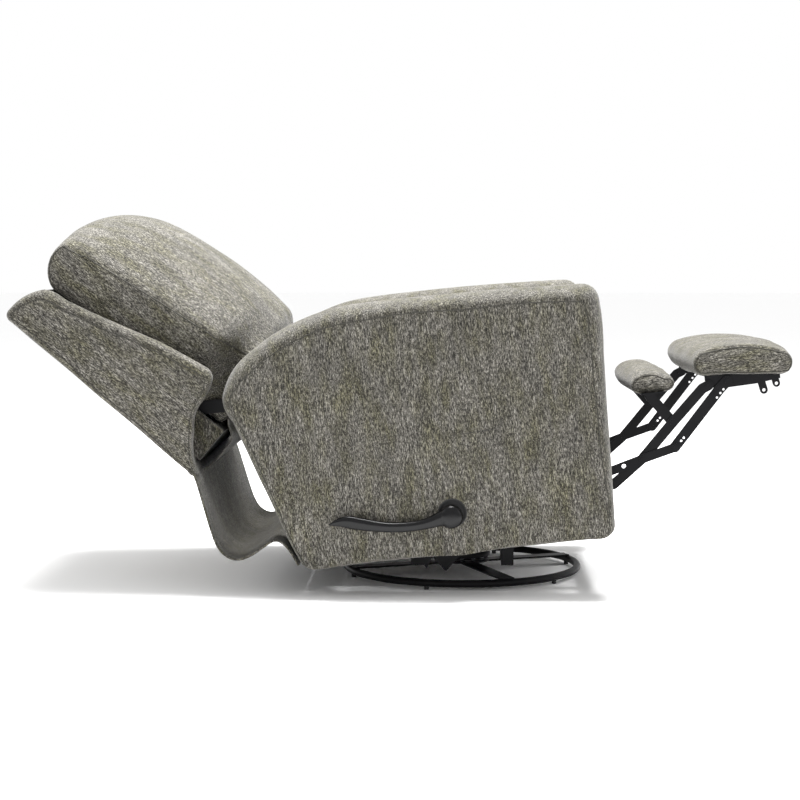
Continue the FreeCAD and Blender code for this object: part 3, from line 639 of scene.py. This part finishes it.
def stuff(obj, voxel, cap):
    """Swells a closed pad like fibre under cloth: remesh, a short cloth run with pressure, and a
    cap on the travel."""
    bpy.context.view_layer.objects.active = obj
    remesh = obj.modifiers.new("remesh", "REMESH")
    remesh.mode = "VOXEL"
    remesh.voxel_size = voxel * MM
    apply_modifiers(obj)
    rest = np.array([tuple(v.co) for v in obj.data.vertices])
    cloth = obj.modifiers.new("cloth", "CLOTH")
    for key, value in STUFFING.items():
        setattr(cloth.settings, key, value)
    cloth.settings.effector_weights.gravity = 0
    cloth.collision_settings.use_collision = False
    scene = bpy.context.scene
    for number in range(1, STUFFING_FRAMES + 1):
        scene.frame_set(number)
    evaluated = obj.evaluated_get(bpy.context.evaluated_depsgraph_get())
    moved = np.array([tuple(v.co) for v in evaluated.data.vertices])
    obj.modifiers.remove(cloth)
    scene.frame_set(1)
    travel = moved - rest
    length = np.linalg.norm(travel, axis=1, keepdims=True)
    travel *= np.minimum(1.0, cap * MM / np.maximum(length, 1e-9))
    for v, target in zip(obj.data.vertices, rest + travel):
        v.co = target
    obj.data.shade_smooth()


# Arms

# Corners of the outline, each with its share of the edge rounding
ARM_OUTLINE = [
    ((-300, 95), 0.0), ((0, 94.5), 0.0), ((290, 95), 0.0), ((309, 102), 0.2),
    ((317, 126), 0.5), ((323, 290), 0.7), ((330, 474), 0.8), ((333, 534), 0.9),
    ((331, 574), 1.0), ((322, 600), 1.0), ((300, 611), 1.0), ((60, 621), 1.0),
    ((-170, 621), 1.0), ((-225, 615), 1.0), ((-274, 602), 1.0), ((-340, 575), 1.0),
    ((-402, 536), 1.0), ((-434, 500), 0.8), ((-451, 461), 0.5), ((-449, 440), 0.4),
    ((-434, 410), 0.4), ((-390, 274), 0.4), ((-334, 120), 0.3), ((-322, 101), 0.1)]
ARM_SPACING = 6.0
ARM_POINTS = 260
ARM_INNER = 270.0             # inner face, crest and outer face, from the middle plane
ARM_CREST = 325.0
ARM_OUTER = 380.0
ARM_EDGE_IN = 24.0
ARM_EDGE_OUT = 34.0
ARM_TURNS = 9                 # rings round each edge
ARM_BOW_IN = 2.0
ARM_BOW_OUT = 1.6
ARM_STEPS_IN = (0.97, 0.8, 0.6, 0.4, 0.22, 0.1, 0.03)
ARM_STEPS_OUT = (0.012, 0.03, 0.07, 0.14, 0.24, 0.36, 0.5, 0.65, 0.8, 0.97)
ARM_SPINE_Z = 335.0
ARM_SPINE_REAR, ARM_SPINE_FRONT = -170, 110
ARM_SOLE = (-318, 300, 125)   # rear, front and top of the stretch under the arm without a seam


def arm_to_middle(loop, share):
    """The outline drawn towards a level line through the middle of the panel."""
    spine_x = np.clip(loop[:, 0] * 0.42 - 30, ARM_SPINE_REAR, ARM_SPINE_FRONT)
    spine = np.stack([spine_x, np.full(len(loop), ARM_SPINE_Z)], axis=1)
    return loop + (spine - loop) * share


def arm_rings(side):
    """Rings over an arm from the inner panel to the outer one, and the lines of both seams."""
    loop, share = rounded_loop(ARM_OUTLINE, ARM_SPACING, ARM_POINTS)
    rings = []
    inner_seam = inset(loop, share * ARM_EDGE_IN)
    for t in ARM_STEPS_IN:
        bow = ARM_BOW_IN * math.sin(math.pi * min(1.0, (1 - t) * 1.2))
        rings.append((arm_to_middle(inner_seam, t), ARM_INNER - bow * (1 - t)))
    for k in range(ARM_TURNS, 0, -1):
        a = math.pi / 2 * k / ARM_TURNS
        depth = ARM_EDGE_IN * (1 - math.cos(a))
        y = ARM_CREST - (ARM_CREST - ARM_INNER) * math.sin(a)
        rings.append((inset(loop, share * depth), y))
    rings.append((loop, ARM_CREST))
    for k in range(1, ARM_TURNS + 1):
        a = math.pi / 2 * k / ARM_TURNS
        depth = ARM_EDGE_OUT * (1 - math.cos(a))
        y = ARM_CREST + (ARM_OUTER - ARM_CREST) * math.sin(a)
        rings.append((inset(loop, share * depth), y))
    seam = rings[-1][0]
    for t in ARM_STEPS_OUT:
        bow = ARM_BOW_OUT * math.sin(math.pi * min(1.0, t * 1.4))
        rings.append((arm_to_middle(seam, t), ARM_OUTER + bow))
    return [ring_at(points, side * y) for points, y in rings], seam, inner_seam


def arm_seam(seam, y):
    """The open run of a seam, from the rear foot over the top and down the front."""
    rear, front, top = ARM_SOLE
    order = [p for p in seam if not (p[1] < top and rear < p[0] < front)]
    start = max(range(len(order)), key=lambda i: np.linalg.norm(order[i] - order[i - 1]))
    return ring_at(even_line(order[start:] + order[:start], SEAM_STEP), y)


def make_arm(name, side, node_name):
    """Padded arm cover with its outer and inner seams. The outer one is stitched."""
    rings, seam, inner_seam = arm_rings(side)
    cover = new_piece(name, *skin(rings), "chair", ARM_CLOTH)
    rumple(cover, 1.3 * MM, 0.11, 3.0 + side)
    laid = sewn(name + "_outer_seam", cover, arm_seam(seam, side * (ARM_OUTER + 0.5)), "chair")
    stitch_row(name + "_stitches", laid[2:-2], "chair")
    sewn(name + "_inner_seam", cover, arm_seam(inner_seam, side * (ARM_INNER - 0.5)), "chair")
    finish_piece(cover, "cover_fabric", node_name)


# Outer back with its wings

WING_OUTLINE = [
    ((-519, 309), 0.1), ((-530, 308), 0.3), ((-540, 319), 0.4), ((-700, 490), 0.4),
    ((-862, 661), 0.4), ((-871, 676), 0.5), ((-862, 690), 0.6), ((-828, 712), 0.8),
    ((-786, 721), 0.9), ((-773, 716), 1.0), ((-749, 697), 1.0), ((-660, 642), 1.0),
    ((-565, 589), 1.0), ((-522, 560), 1.0), ((-478, 528), 1.0), ((-467, 514), 0.9),
    ((-469, 494), 0.6), ((-481, 473), 0.4), ((-499, 452), 0.3), ((-512, 431), 0.3),
    ((-518, 400), 0.3), ((-525, 360), 0.2)]
WING_SPACING = 5.0
WING_POINTS = 220
WING_EDGE = 20.0
WING_IN = 312.0
WING_OUT = 350.0
WING_TURNS = 7
WING_SPINE = ((-545.0, 430.0), (-790.0, 670.0))
WING_STEPS_IN = (0.95, 0.7, 0.45, 0.25, 0.1)
WING_STEPS_OUT = (0.03, 0.08, 0.16, 0.3, 0.5, 0.75, 0.95)


def wing_to_middle(loop, share):
    """The wing's outline drawn towards a line along its middle."""
    a, b = (np.array(end) for end in WING_SPINE)
    along = (b - a) / np.linalg.norm(b - a)
    reach = np.clip((loop - a) @ along, 0, np.linalg.norm(b - a))
    spine = a + reach[:, None] * along
    return loop + (spine - loop) * share


def make_wing(name, side):
    """Padded wing at a side of the outer back, with a seam round its outer panel."""
    loop, share = rounded_loop(WING_OUTLINE, WING_SPACING, WING_POINTS)
    rings = []
    middle = (WING_IN + WING_OUT) / 2
    half = (WING_OUT - WING_IN) / 2
    inner = inset(loop, share * WING_EDGE * 0.5)
    for t in WING_STEPS_IN:
        rings.append((wing_to_middle(inner, t), WING_IN + 0.5))
    for k in range(WING_TURNS, -1, -1):
        a = math.pi / 2 * k / WING_TURNS
        depth = share * WING_EDGE * 0.5 * (1 - math.cos(a))
        rings.append((inset(loop, depth), middle - half * math.sin(a)))
    for k in range(1, WING_TURNS + 1):
        a = math.pi / 2 * k / WING_TURNS
        depth = share * WING_EDGE * (1 - math.cos(a))
        rings.append((inset(loop, depth), middle + half * math.sin(a)))
    seam = rings[-1][0]
    for t in WING_STEPS_OUT:
        bow = 1.2 * math.sin(math.pi * min(1, 1.3 * t))
        rings.append((wing_to_middle(seam, t), WING_OUT + bow))
    verts, faces = skin([ring_at(points, side * y) for points, y in rings])
    cover = new_piece(name, verts, faces, "back", BACK_CLOTH)
    rumple(cover, 1.0 * MM, 0.09, 7.0 + side)
    closed = even_line(list(seam) + [seam[0]], SEAM_STEP)
    laid = sewn(name + "_seam", cover, ring_at(closed, side * (WING_OUT + 0.5)), "back")
    stitch_row(name + "_stitches", laid, "back")
    finish_piece(cover, "cover_fabric", "back_shell")


PANEL_HALF, PANEL_FOOT, PANEL_HEAD, PANEL_THICK = 345.0, 16, 498.0, 20.0
PANEL_ROWS, PANEL_COLUMNS = 60, 70
PANEL_BOW = 3.0
PANEL_SEAM_Y = 322


def make_rear_panel():
    """Outer back between the wings: a stretched panel with a soft bow and rolled edges."""
    verts = []
    for front in (False, True):
        for i in range(PANEL_ROWS + 1):
            for j in range(PANEL_COLUMNS + 1):
                u, v = i / PANEL_ROWS, j / PANEL_COLUMNS
                edge = min(u, 1 - u, (v if v < 0.5 else 1 - v) * 1.4) * 12
                roll = math.sqrt(max(0.0, 1 - (1 - min(1.0, edge)) ** 2))
                if front:
                    n = PANEL_THICK / 2 + PANEL_THICK / 2 * roll
                else:
                    bow = PANEL_BOW * math.sin(math.pi * u) * math.sin(math.pi * v)
                    n = PANEL_THICK / 2 - PANEL_THICK / 2 * roll - (bow - PANEL_BOW)
                x, z = back_point(PANEL_FOOT + u * (PANEL_HEAD - PANEL_FOOT), n)
                verts.append(place(x, -PANEL_HALF + 2 * PANEL_HALF * v, z))
    faces = double_faces(PANEL_ROWS + 1, PANEL_COLUMNS)
    cover = new_piece("rear_panel", verts, faces, "back", BACK_CLOTH)
    rumple(cover, 0.9 * MM, 0.14, 11.0)
    for side, word in ((-1, "right"), (1, "left")):
        line = [back_point(s, 1.0) for s in np.linspace(22, 490, 120)]
        sewn("rear_panel_seam_" + word, cover, ring_at(line, side * PANEL_SEAM_Y), "back")
    finish_piece(cover, "cover_fabric", "back_shell")


# Cushions

# Outline of each cushion at its seams (rim) and across its middle (crown). The pillow's are
# given along the back and in front of it.
OTTOMAN_RIM = [(528, 393.5), (615, 386.2), (706, 378.4), (720, 402), (700, 426), (618, 446),
               (536, 441), (515, 419)]
OTTOMAN_CROWN = [(522, 394), (615, 386.2), (712, 378), (733, 410), (716, 431), (618, 454),
                 (530, 449), (499, 424)]
FLIPPER_RIM = [(400, 369.5), (433, 368.3), (464, 369.5), (476, 385), (457, 396), (426, 408),
               (395, 401), (386, 383)]
FLIPPER_CROWN = [(398, 369.5), (433, 368.1), (468, 369.5), (481, 388), (464, 402), (428, 418),
                 (390, 409), (374, 390)]
SEAT_RIM = [(-150, 398), (90, 398), (318, 398), (332, 435), (318, 474), (90, 480),
            (-150, 478), (-150.5, 438)]
SEAT_CROWN = [(-150, 398), (90, 398), (324, 398), (343, 440), (326, 480), (90, 494),
              (-150, 488), (-150.5, 438)]
REAR_RIM = [(-300, 398), (-220, 398), (-146, 398), (-145, 438), (-146, 477), (-220, 477),
            (-292, 466), (-303, 430)]
REAR_CROWN = [(-300, 398), (-220, 398), (-146, 398), (-145, 438), (-146, 486), (-220, 486),
              (-292, 470), (-306, 430)]
PILLOW_RIM = [(34, 103), (280, 103), (476, 103), (522, 146), (517, 192), (465, 203),
              (400, 214), (257, 235), (60, 258), (28, 180)]
PILLOW_CROWN = [(34, 103), (280, 103), (484, 103), (545, 165), (540, 238), (483, 299),
                (403, 336), (260, 359), (84, 357), (22, 230)]
PILLOW_CREASES = [((505, 205), (455, 196), (395, 170)), ((330, 205), (285, 185), (235, 168)),
                  ((190, 240), (165, 215), (150, 180)), ((215, 150), (180, 140), (140, 145))]
CREASE_DEPTH, CREASE_WIDTH = 5.0, 16.0
CROWN_POWER = 2.2             # higher is flatter over the width
CROWN_STATIONS = 16           # rings from the middle to each end
LAST_RING = 0.35              # from the end to the last crowned ring, in edge radii
END_EDGE = ((0.3, 0.22), (1.0, 0.34))    # inset and reach of the edge rings, in edge radii
END_STEPS = (0.2, 0.45, 0.75, 0.97)
END_BOW = 3.5


def mix_outline(rim, crown, share):
    """The outline between the rim and the crown, at a share of the way."""
    return [(a[0] + (b[0] - a[0]) * share, a[1] + (b[1] - a[1]) * share)
            for a, b in zip(rim, crown)]


def cushion_rings(rim, crown, half_width, edge, count):
    """Rings across a cushion, crowned in the middle, rounded at the seams and with bowed end
    panels. Also gives the ring that the seam lies on."""
    loops = []
    for k in range(-CROWN_STATIONS, CROWN_STATIONS + 1):
        f = math.sin(math.pi / 2 * k / CROWN_STATIONS)
        outline = mix_outline(rim, crown, 1 - abs(f) ** CROWN_POWER)
        loop = even_loop(loop_of_arcs(outline, 6.0), count)
        loops.append((loop, f * (half_width - edge * LAST_RING)))
    end = loops[0][0]
    caps = []
    for depth, out in END_EDGE:
        y = half_width - edge * LAST_RING + edge * out
        caps.append((inset(end, np.full(count, edge * depth)), y))
    middle = end.mean(axis=0)
    last = caps[-1][0]
    for t in END_STEPS:
        y = half_width - edge * 0.01 + END_BOW * math.sin(math.pi / 2 * t)
        caps.append((last + (middle - last) * t, y))
    return [(loop, -y) for loop, y in reversed(caps)] + loops + caps, caps[0]


def same_width(x, z):
    return 1.0


def pillow_width(x, z):
    """Share of the pillow's width at a place. It narrows between the arms, near the seat."""
    s = (x - BACK_FOOT[0]) * math.cos(BACK_ANGLE) + (z - BACK_FOOT[1]) * math.sin(BACK_ANGLE)
    t = min(1.0, max(0.0, (s - 92.0) / 66.0))
    return 0.793 + 0.207 * t * t * (3 - 2 * t)


def make_cushion(name, rim, crown, half_width, edge, body, node_name, material, seed, voxel,
                 cap, count=130, narrowing=same_width, creases=()):
    """A cushion with its end panels sewn in, swelled a little by its filling."""
    rings, (loop, seam_y) = cushion_rings(rim, crown, half_width - 2.0, edge, count)
    verts, faces = skin([[place(x, y * narrowing(x, z), z) for x, z in ring]
                         for ring, y in rings])
    cover = new_piece(name, verts, faces, body, material)
    stuff(cover, voxel, cap)
    rumple(cover, 1.6 * MM, 0.075, seed)
    closed = even_line(list(loop) + [loop[0]], SEAM_STEP)
    for side, word in ((-1, "right"), (1, "left")):
        for crease in creases:
            flat = even_line(smooth_line([back_point(*p) for p in crease]), SEAM_STEP)
            pull = snapped(cover, ring_at(flat, side * half_width))
            groove(cover, pull, CREASE_DEPTH * MM, CREASE_WIDTH * MM)
        path = [place(x, side * seam_y * narrowing(x, z), z) for x, z in closed]
        laid = sewn(name + "_seam_" + word, cover, path, body, depth=1.6, width=10.0)
        stitch_row(name + "_stitches_" + word, laid, body)
    finish_piece(cover, "cover_fabric", node_name)


# Flap and end cloths

FLAP_LINE = [(-530, 331), (-526.5, 314), (-521.5, 296), (-516, 261), (-507, 207), (-498, 169),
             (-485, 144), (-461, 129), (-433, 135), (-409, 148), (-385, 161), (-370, 161),
             (-357, 150), (-346, 132), (-335, 104)]
FLAP_HALF = 349.0
FLAP_COLUMNS = 110
FLAP_THICK_HALF = 1.1
HEM_WIDTH, HEM_THICK = 14, 0.9


def make_flap():
    """Cloth flap in one hanging loop from the outer back to the seat base, with a turned hem
    at each side."""
    line = even_line(smooth_line(FLAP_LINE), 5.0)
    normal = line_normals(line)
    verts = []
    for face in (1, -1):
        for i, (p, n) in enumerate(zip(line, normal)):
            free = math.sin(math.pi * i / (len(line) - 1))
            for j in range(FLAP_COLUMNS + 1):
                y = -FLAP_HALF + 2 * FLAP_HALF * j / FLAP_COLUMNS
                rim = min(j, FLAP_COLUMNS - j) / FLAP_COLUMNS * 2 * FLAP_HALF
                hem = HEM_THICK if rim < HEM_WIDTH else 0.0
                wave = free * (3.0 * soft_noise((p[0] * MM, y * MM, p[1] * MM), 0.16, 5.0)
                               + 1.2 * math.sin(y / 47.0))
                off = face * (FLAP_THICK_HALF + hem) + wave
                verts.append(place(p[0] + n[0] * off, y, p[1] + n[1] * off))
    faces = double_faces(len(line), FLAP_COLUMNS)
    # Its cloth is the darker copy of the chenille: painted shade inside the hanging loop.
    cover = new_piece("rear_flap_cloth", verts, faces, "chair", PAINTED_SHADE_CHENILLE)
    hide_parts("rear_flap")
    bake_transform(cover)


BACK_FOOT_CLOTH = [(3, 8), (-5, 30), (-6, 62), (-5, 92), (2, 106), (18, 112), (30, 125)]
BACK_HEAD_CLOTH = [(484, 8), (490, 20), (492, 50), (489, 78), (483, 97), (474, 103)]
END_CLOTH_HALF = 0.7          # half of its thickness


def make_back_end(name, points, half, columns):
    """Cover cloth that closes an end of the back, from the outer back round the rail to the
    pillow."""
    line = even_line(smooth_line([back_point(*p) for p in points]), 4.0)
    normal = line_normals(line)
    rings = []
    for j in range(columns + 1):
        y = -half + 2 * half * j / columns
        front, rear = [], []
        for p, n in zip(line, normal):
            pull = 0.8 * soft_noise((p[0] * MM, y * MM, p[1] * MM), 0.05, 8.0)
            fore, aft = END_CLOTH_HALF + pull, END_CLOTH_HALF - pull
            front.append(place(p[0] + n[0] * fore, y, p[1] + n[1] * fore))
            rear.append(place(p[0] - n[0] * aft, y, p[1] - n[1] * aft))
        rings.append(front + rear[::-1])
    verts, faces = skin(rings, closed_ends=False)
    rows = len(rings[0])
    for r in (0, columns):
        faces.extend((r * rows + i, r * rows + i + 1, r * rows + rows - 2 - i,
                      r * rows + rows - 1 - i) for i in range(rows // 2 - 1))
    # The darker copy of the chenille: painted shade in the gaps round the pillow.
    cover = new_piece(name, verts, faces, "back", PAINTED_SHADE_CHENILLE)
    finish_piece(cover, "cover_fabric")


# Release handle

# Middle line of the blade with its half height and half thickness
HANDLE_SPINE = [
    (-13, 177, 18, 9), (-34, 175.5, 15.0, 10), (-52, 170.5, 12.2, 10), (-76, 166.5, 10.2, 9.5),
    (-105, 166, 10.2, 9), (-138, 168.5, 10.2, 9), (-170, 175, 11.5, 9), (-200, 182.5, 13.0, 8.5),
    (-219, 188.5, 13.0, 8), (-234, 190.0, 10.0, 7), (-247, 188.5, 6.0, 5), (-258, 187, 1.6, 2)]
HANDLE_Y = -396.0
HANDLE_SIDES = 28
HANDLE_SQUARE = 0.8           # 1 is an ellipse, less is squarer
HANDLE_CREASE = 1.2
# Radius and depth of the turned shapes
HUB_PROFILE = [(0.0, -410.0), (6, -409.8), (12, -409.0), (17, -407.3), (21, -404.5),
               (23.2, -401), (24, -396.5), (24, -388), (22.5, -385.3), (19, -384.2),
               (0.0, -384.2)]
CUP_PROFILE = [(9.6, -380.5), (9.6, -382.0), (25.0, -382.2), (26.0, -383.6), (28.0, -384.3),
               (29.3, -383.0), (29.6, -380.0), (9.6, -380.0)]
LATHE_SIDES = 72
LATHE_LEAST = 0.05            # radius that stands for a closed end


def lathe(name, centre, profile, body, material, node_name):
    """Round plastic piece about an axis across the chair, from radius and depth pairs."""
    turns = [2 * math.pi * k / LATHE_SIDES for k in range(LATHE_SIDES)]
    rings = []
    for radius, y in smooth_line(profile, 1):
        r = max(radius, LATHE_LEAST)
        rings.append([place(centre[0] + r * math.cos(a), y, centre[1] + r * math.sin(a))
                      for a in turns])
    piece = new_piece(name, *skin(rings), body, material)
    finish_piece(piece, "black_plastic", node_name)


def make_handle():
    """Moulded lever: a domed hub, a neck and a curved blade that thins to a slanted tip. The
    hub turns in a dished ring on the arm."""
    line = even_line(smooth_line(HANDLE_SPINE, 2), 3.0)
    rings = []
    for i, (x, z, tall, thick) in enumerate(line):
        before, after = line[max(i - 1, 0)], line[min(i + 1, len(line) - 1)]
        run = math.hypot(after[0] - before[0], after[1] - before[1])
        nx, nz = -(after[1] - before[1]) / run, (after[0] - before[0]) / run
        ring = []
        for k in range(HANDLE_SIDES):
            a = 2 * math.pi * k / HANDLE_SIDES
            c, s = math.cos(a), math.sin(a)
            high = math.copysign(abs(c) ** HANDLE_SQUARE, c) * tall
            deep = math.copysign(abs(s) ** HANDLE_SQUARE, s) * thick
            crease = 0.0
            if deep < 0:
                crease = HANDLE_CREASE * math.exp(-((high / tall - 0.35) / 0.12) ** 2)
            ring.append(place(x + nx * high, HANDLE_Y + deep + crease, z + nz * high))
        rings.append(ring)
    blade = new_piece("handle_blade", *skin(rings), "handle", ABS)
    finish_piece(blade, "black_plastic", "handle_lever")
    lathe("handle_hub", (-13, 177), HUB_PROFILE, "handle", ABS, "handle_lever")
    lathe("handle_cup", (-10, 182), CUP_PROFILE, "chair", NYLON, "handle_escutcheon")


# Finishes of the carried parts

FINISHES = {"black_steel": STEEL, "bright_steel": ZINC, "frame_wood": PLY,
            "foot_plastic": NYLON, "black_plastic": ABS, "cover_fabric": ARM_CLOTH}
OTHER_FINISHES = {
    **dict.fromkeys(("crossing_link_rivets", "long_link_rivets", "outer_link_rivets",
                     "front_ground_pins", "rear_ground_pins", "swing_studs",
                     "lower_swing_studs", "side_plate_studs"), STEEL),
    # The clothed rails take the darker copy of the chenille: painted shade, as they lie in
    # shadow.
    **dict.fromkeys(("seat_cross_rails", "seat_side_rails", "back_side_rails",
                     "back_cross_rails"), PAINTED_SHADE_CHENILLE),
    **dict.fromkeys(("ottoman_board", "flipper_board", "flap_batten"), LINING)}


def dress_frame():
    """Gives each carried part the finish of its slot, or another one that it is known by."""
    for part in frame["record"]["subparts"]:
        obj = frame["nodes"][part["node"]]
        finish = OTHER_FINISHES.get(part["node"], FINISHES[part["material_slot"]])
        obj.data.materials.clear()
        obj.data.materials.append(finish)


# Stage

FLOOR_REACH = 30              # metres
FLOOR_COLOUR = "fcfcfc"
# Place, aim, size in metres and power in watts
LIGHTS = {"overhead": ((0.1, 0.2, 3.4), (0.0, 0.1, 0.3), 1.8, 450),
          "front_fill": ((3.2, -1.6, 1.8), (0.3, 0.0, 0.4), 1.6, 8),
          "rear_fill": ((-3.0, -1.2, 2.2), (-0.3, 0.0, 0.5), 1.6, 10)}
CAMERA_AT = (2.0, -4160.0, 701.0)       # from the middle of the ring, in millimetres
CAMERA_YAW, CAMERA_DOWN = math.radians(1.93), math.radians(4.42)


def aim(obj, direction):
    """Points a light or camera and puts it in the scene."""
    obj.rotation_euler = direction.to_track_quat("-Z", "Y").to_euler()
    bpy.context.scene.collection.objects.link(obj)


def make_stage():
    """Pale floor, even white surroundings and three soft lights."""
    floor = bpy.data.meshes.new("floor")
    corners = ((-1, -1), (1, -1), (1, 1), (-1, 1))
    floor.from_pydata([(x * FLOOR_REACH, y * FLOOR_REACH, 0) for x, y in corners], [],
                      [(0, 1, 2, 3)])
    material, _, surface, _ = blank_material("pale_floor")
    surface.inputs["Base Color"].default_value = linear(FLOOR_COLOUR)
    surface.inputs["Roughness"].default_value = 0.9
    surface.inputs["Specular IOR Level"].default_value = 0.1
    floor.materials.append(material)
    obj = bpy.data.objects.new("floor", floor)
    bpy.context.scene.collection.objects.link(obj)
    world = bpy.data.worlds.new("studio")
    world.use_nodes = True
    world.node_tree.nodes["Background"].inputs["Color"].default_value = (1, 1, 1, 1)
    world.node_tree.nodes["Background"].inputs["Strength"].default_value = 1.0
    bpy.context.scene.world = world
    for name, (at, target, size, power) in LIGHTS.items():
        data = bpy.data.lights.new(name, "AREA")
        data.size = size
        data.energy = power
        light = bpy.data.objects.new(name, data)
        light.location = at
        aim(light, Vector(target) - Vector(at))
    bpy.context.scene.view_settings.view_transform = "Standard"


def make_camera():
    """Long lens almost square on to the right side of the chair, 4.2 m away and 0.7 m up."""
    data = bpy.data.cameras.new("camera")
    data.lens = 85.0
    data.sensor_width = 36.0
    data.clip_end = 100.0
    obj = bpy.data.objects.new("camera", data)
    x, y, z = CAMERA_AT
    obj.location = ((x + RING_X) * MM, (y + RING_Y) * MM, z * MM)
    aim(obj, Vector((-math.sin(CAMERA_YAW) * math.cos(CAMERA_DOWN),
                     math.cos(CAMERA_YAW) * math.cos(CAMERA_DOWN), -math.sin(CAMERA_DOWN))))
    bpy.context.scene.camera = obj


make_camera()
make_stage()
dress_frame()
make_arm("arm_cover_left", 1, "arm_left")
make_arm("arm_cover_right", -1, "arm_right")
make_wing("wing_left", 1)
make_wing("wing_right", -1)
make_rear_panel()
make_cushion("leg_rest_pad", OTTOMAN_RIM, OTTOMAN_CROWN, 255, 9, "leg_rest",
             "ottoman_cushion", SEAT_CLOTH, 2.0, voxel=5.0, cap=3.0)
make_cushion("middle_pad", FLIPPER_RIM, FLIPPER_CROWN, 230, 8, "flipper",
             "flipper_cushion", SEAT_CLOTH, 4.0, voxel=5.0, cap=2.5)
make_cushion("seat_pad", SEAT_RIM, SEAT_CROWN, 265, 9, "chair",
             "seat_cushion", SEAT_CLOTH, 6.0, voxel=8.0, cap=3.0)
make_cushion("seat_pad_rear", REAR_RIM, REAR_CROWN, 236, 8, "chair",
             "seat_cushion", SEAT_CLOTH, 8.0, voxel=8.0, cap=2.0)
make_cushion("back_pillow_pad", [back_point(*p) for p in PILLOW_RIM],
             [back_point(*p) for p in PILLOW_CROWN], 310, 11, "back",
             "back_pillow", BACK_CLOTH, 9.0, voxel=9.0, cap=4.0, count=190,
             narrowing=pillow_width, creases=PILLOW_CREASES)
make_back_end("back_end_cloth", BACK_FOOT_CLOTH, 263.0, 90)
make_back_end("back_head_cloth", BACK_HEAD_CLOTH, 311.0, 100)
make_flap()
make_handle()
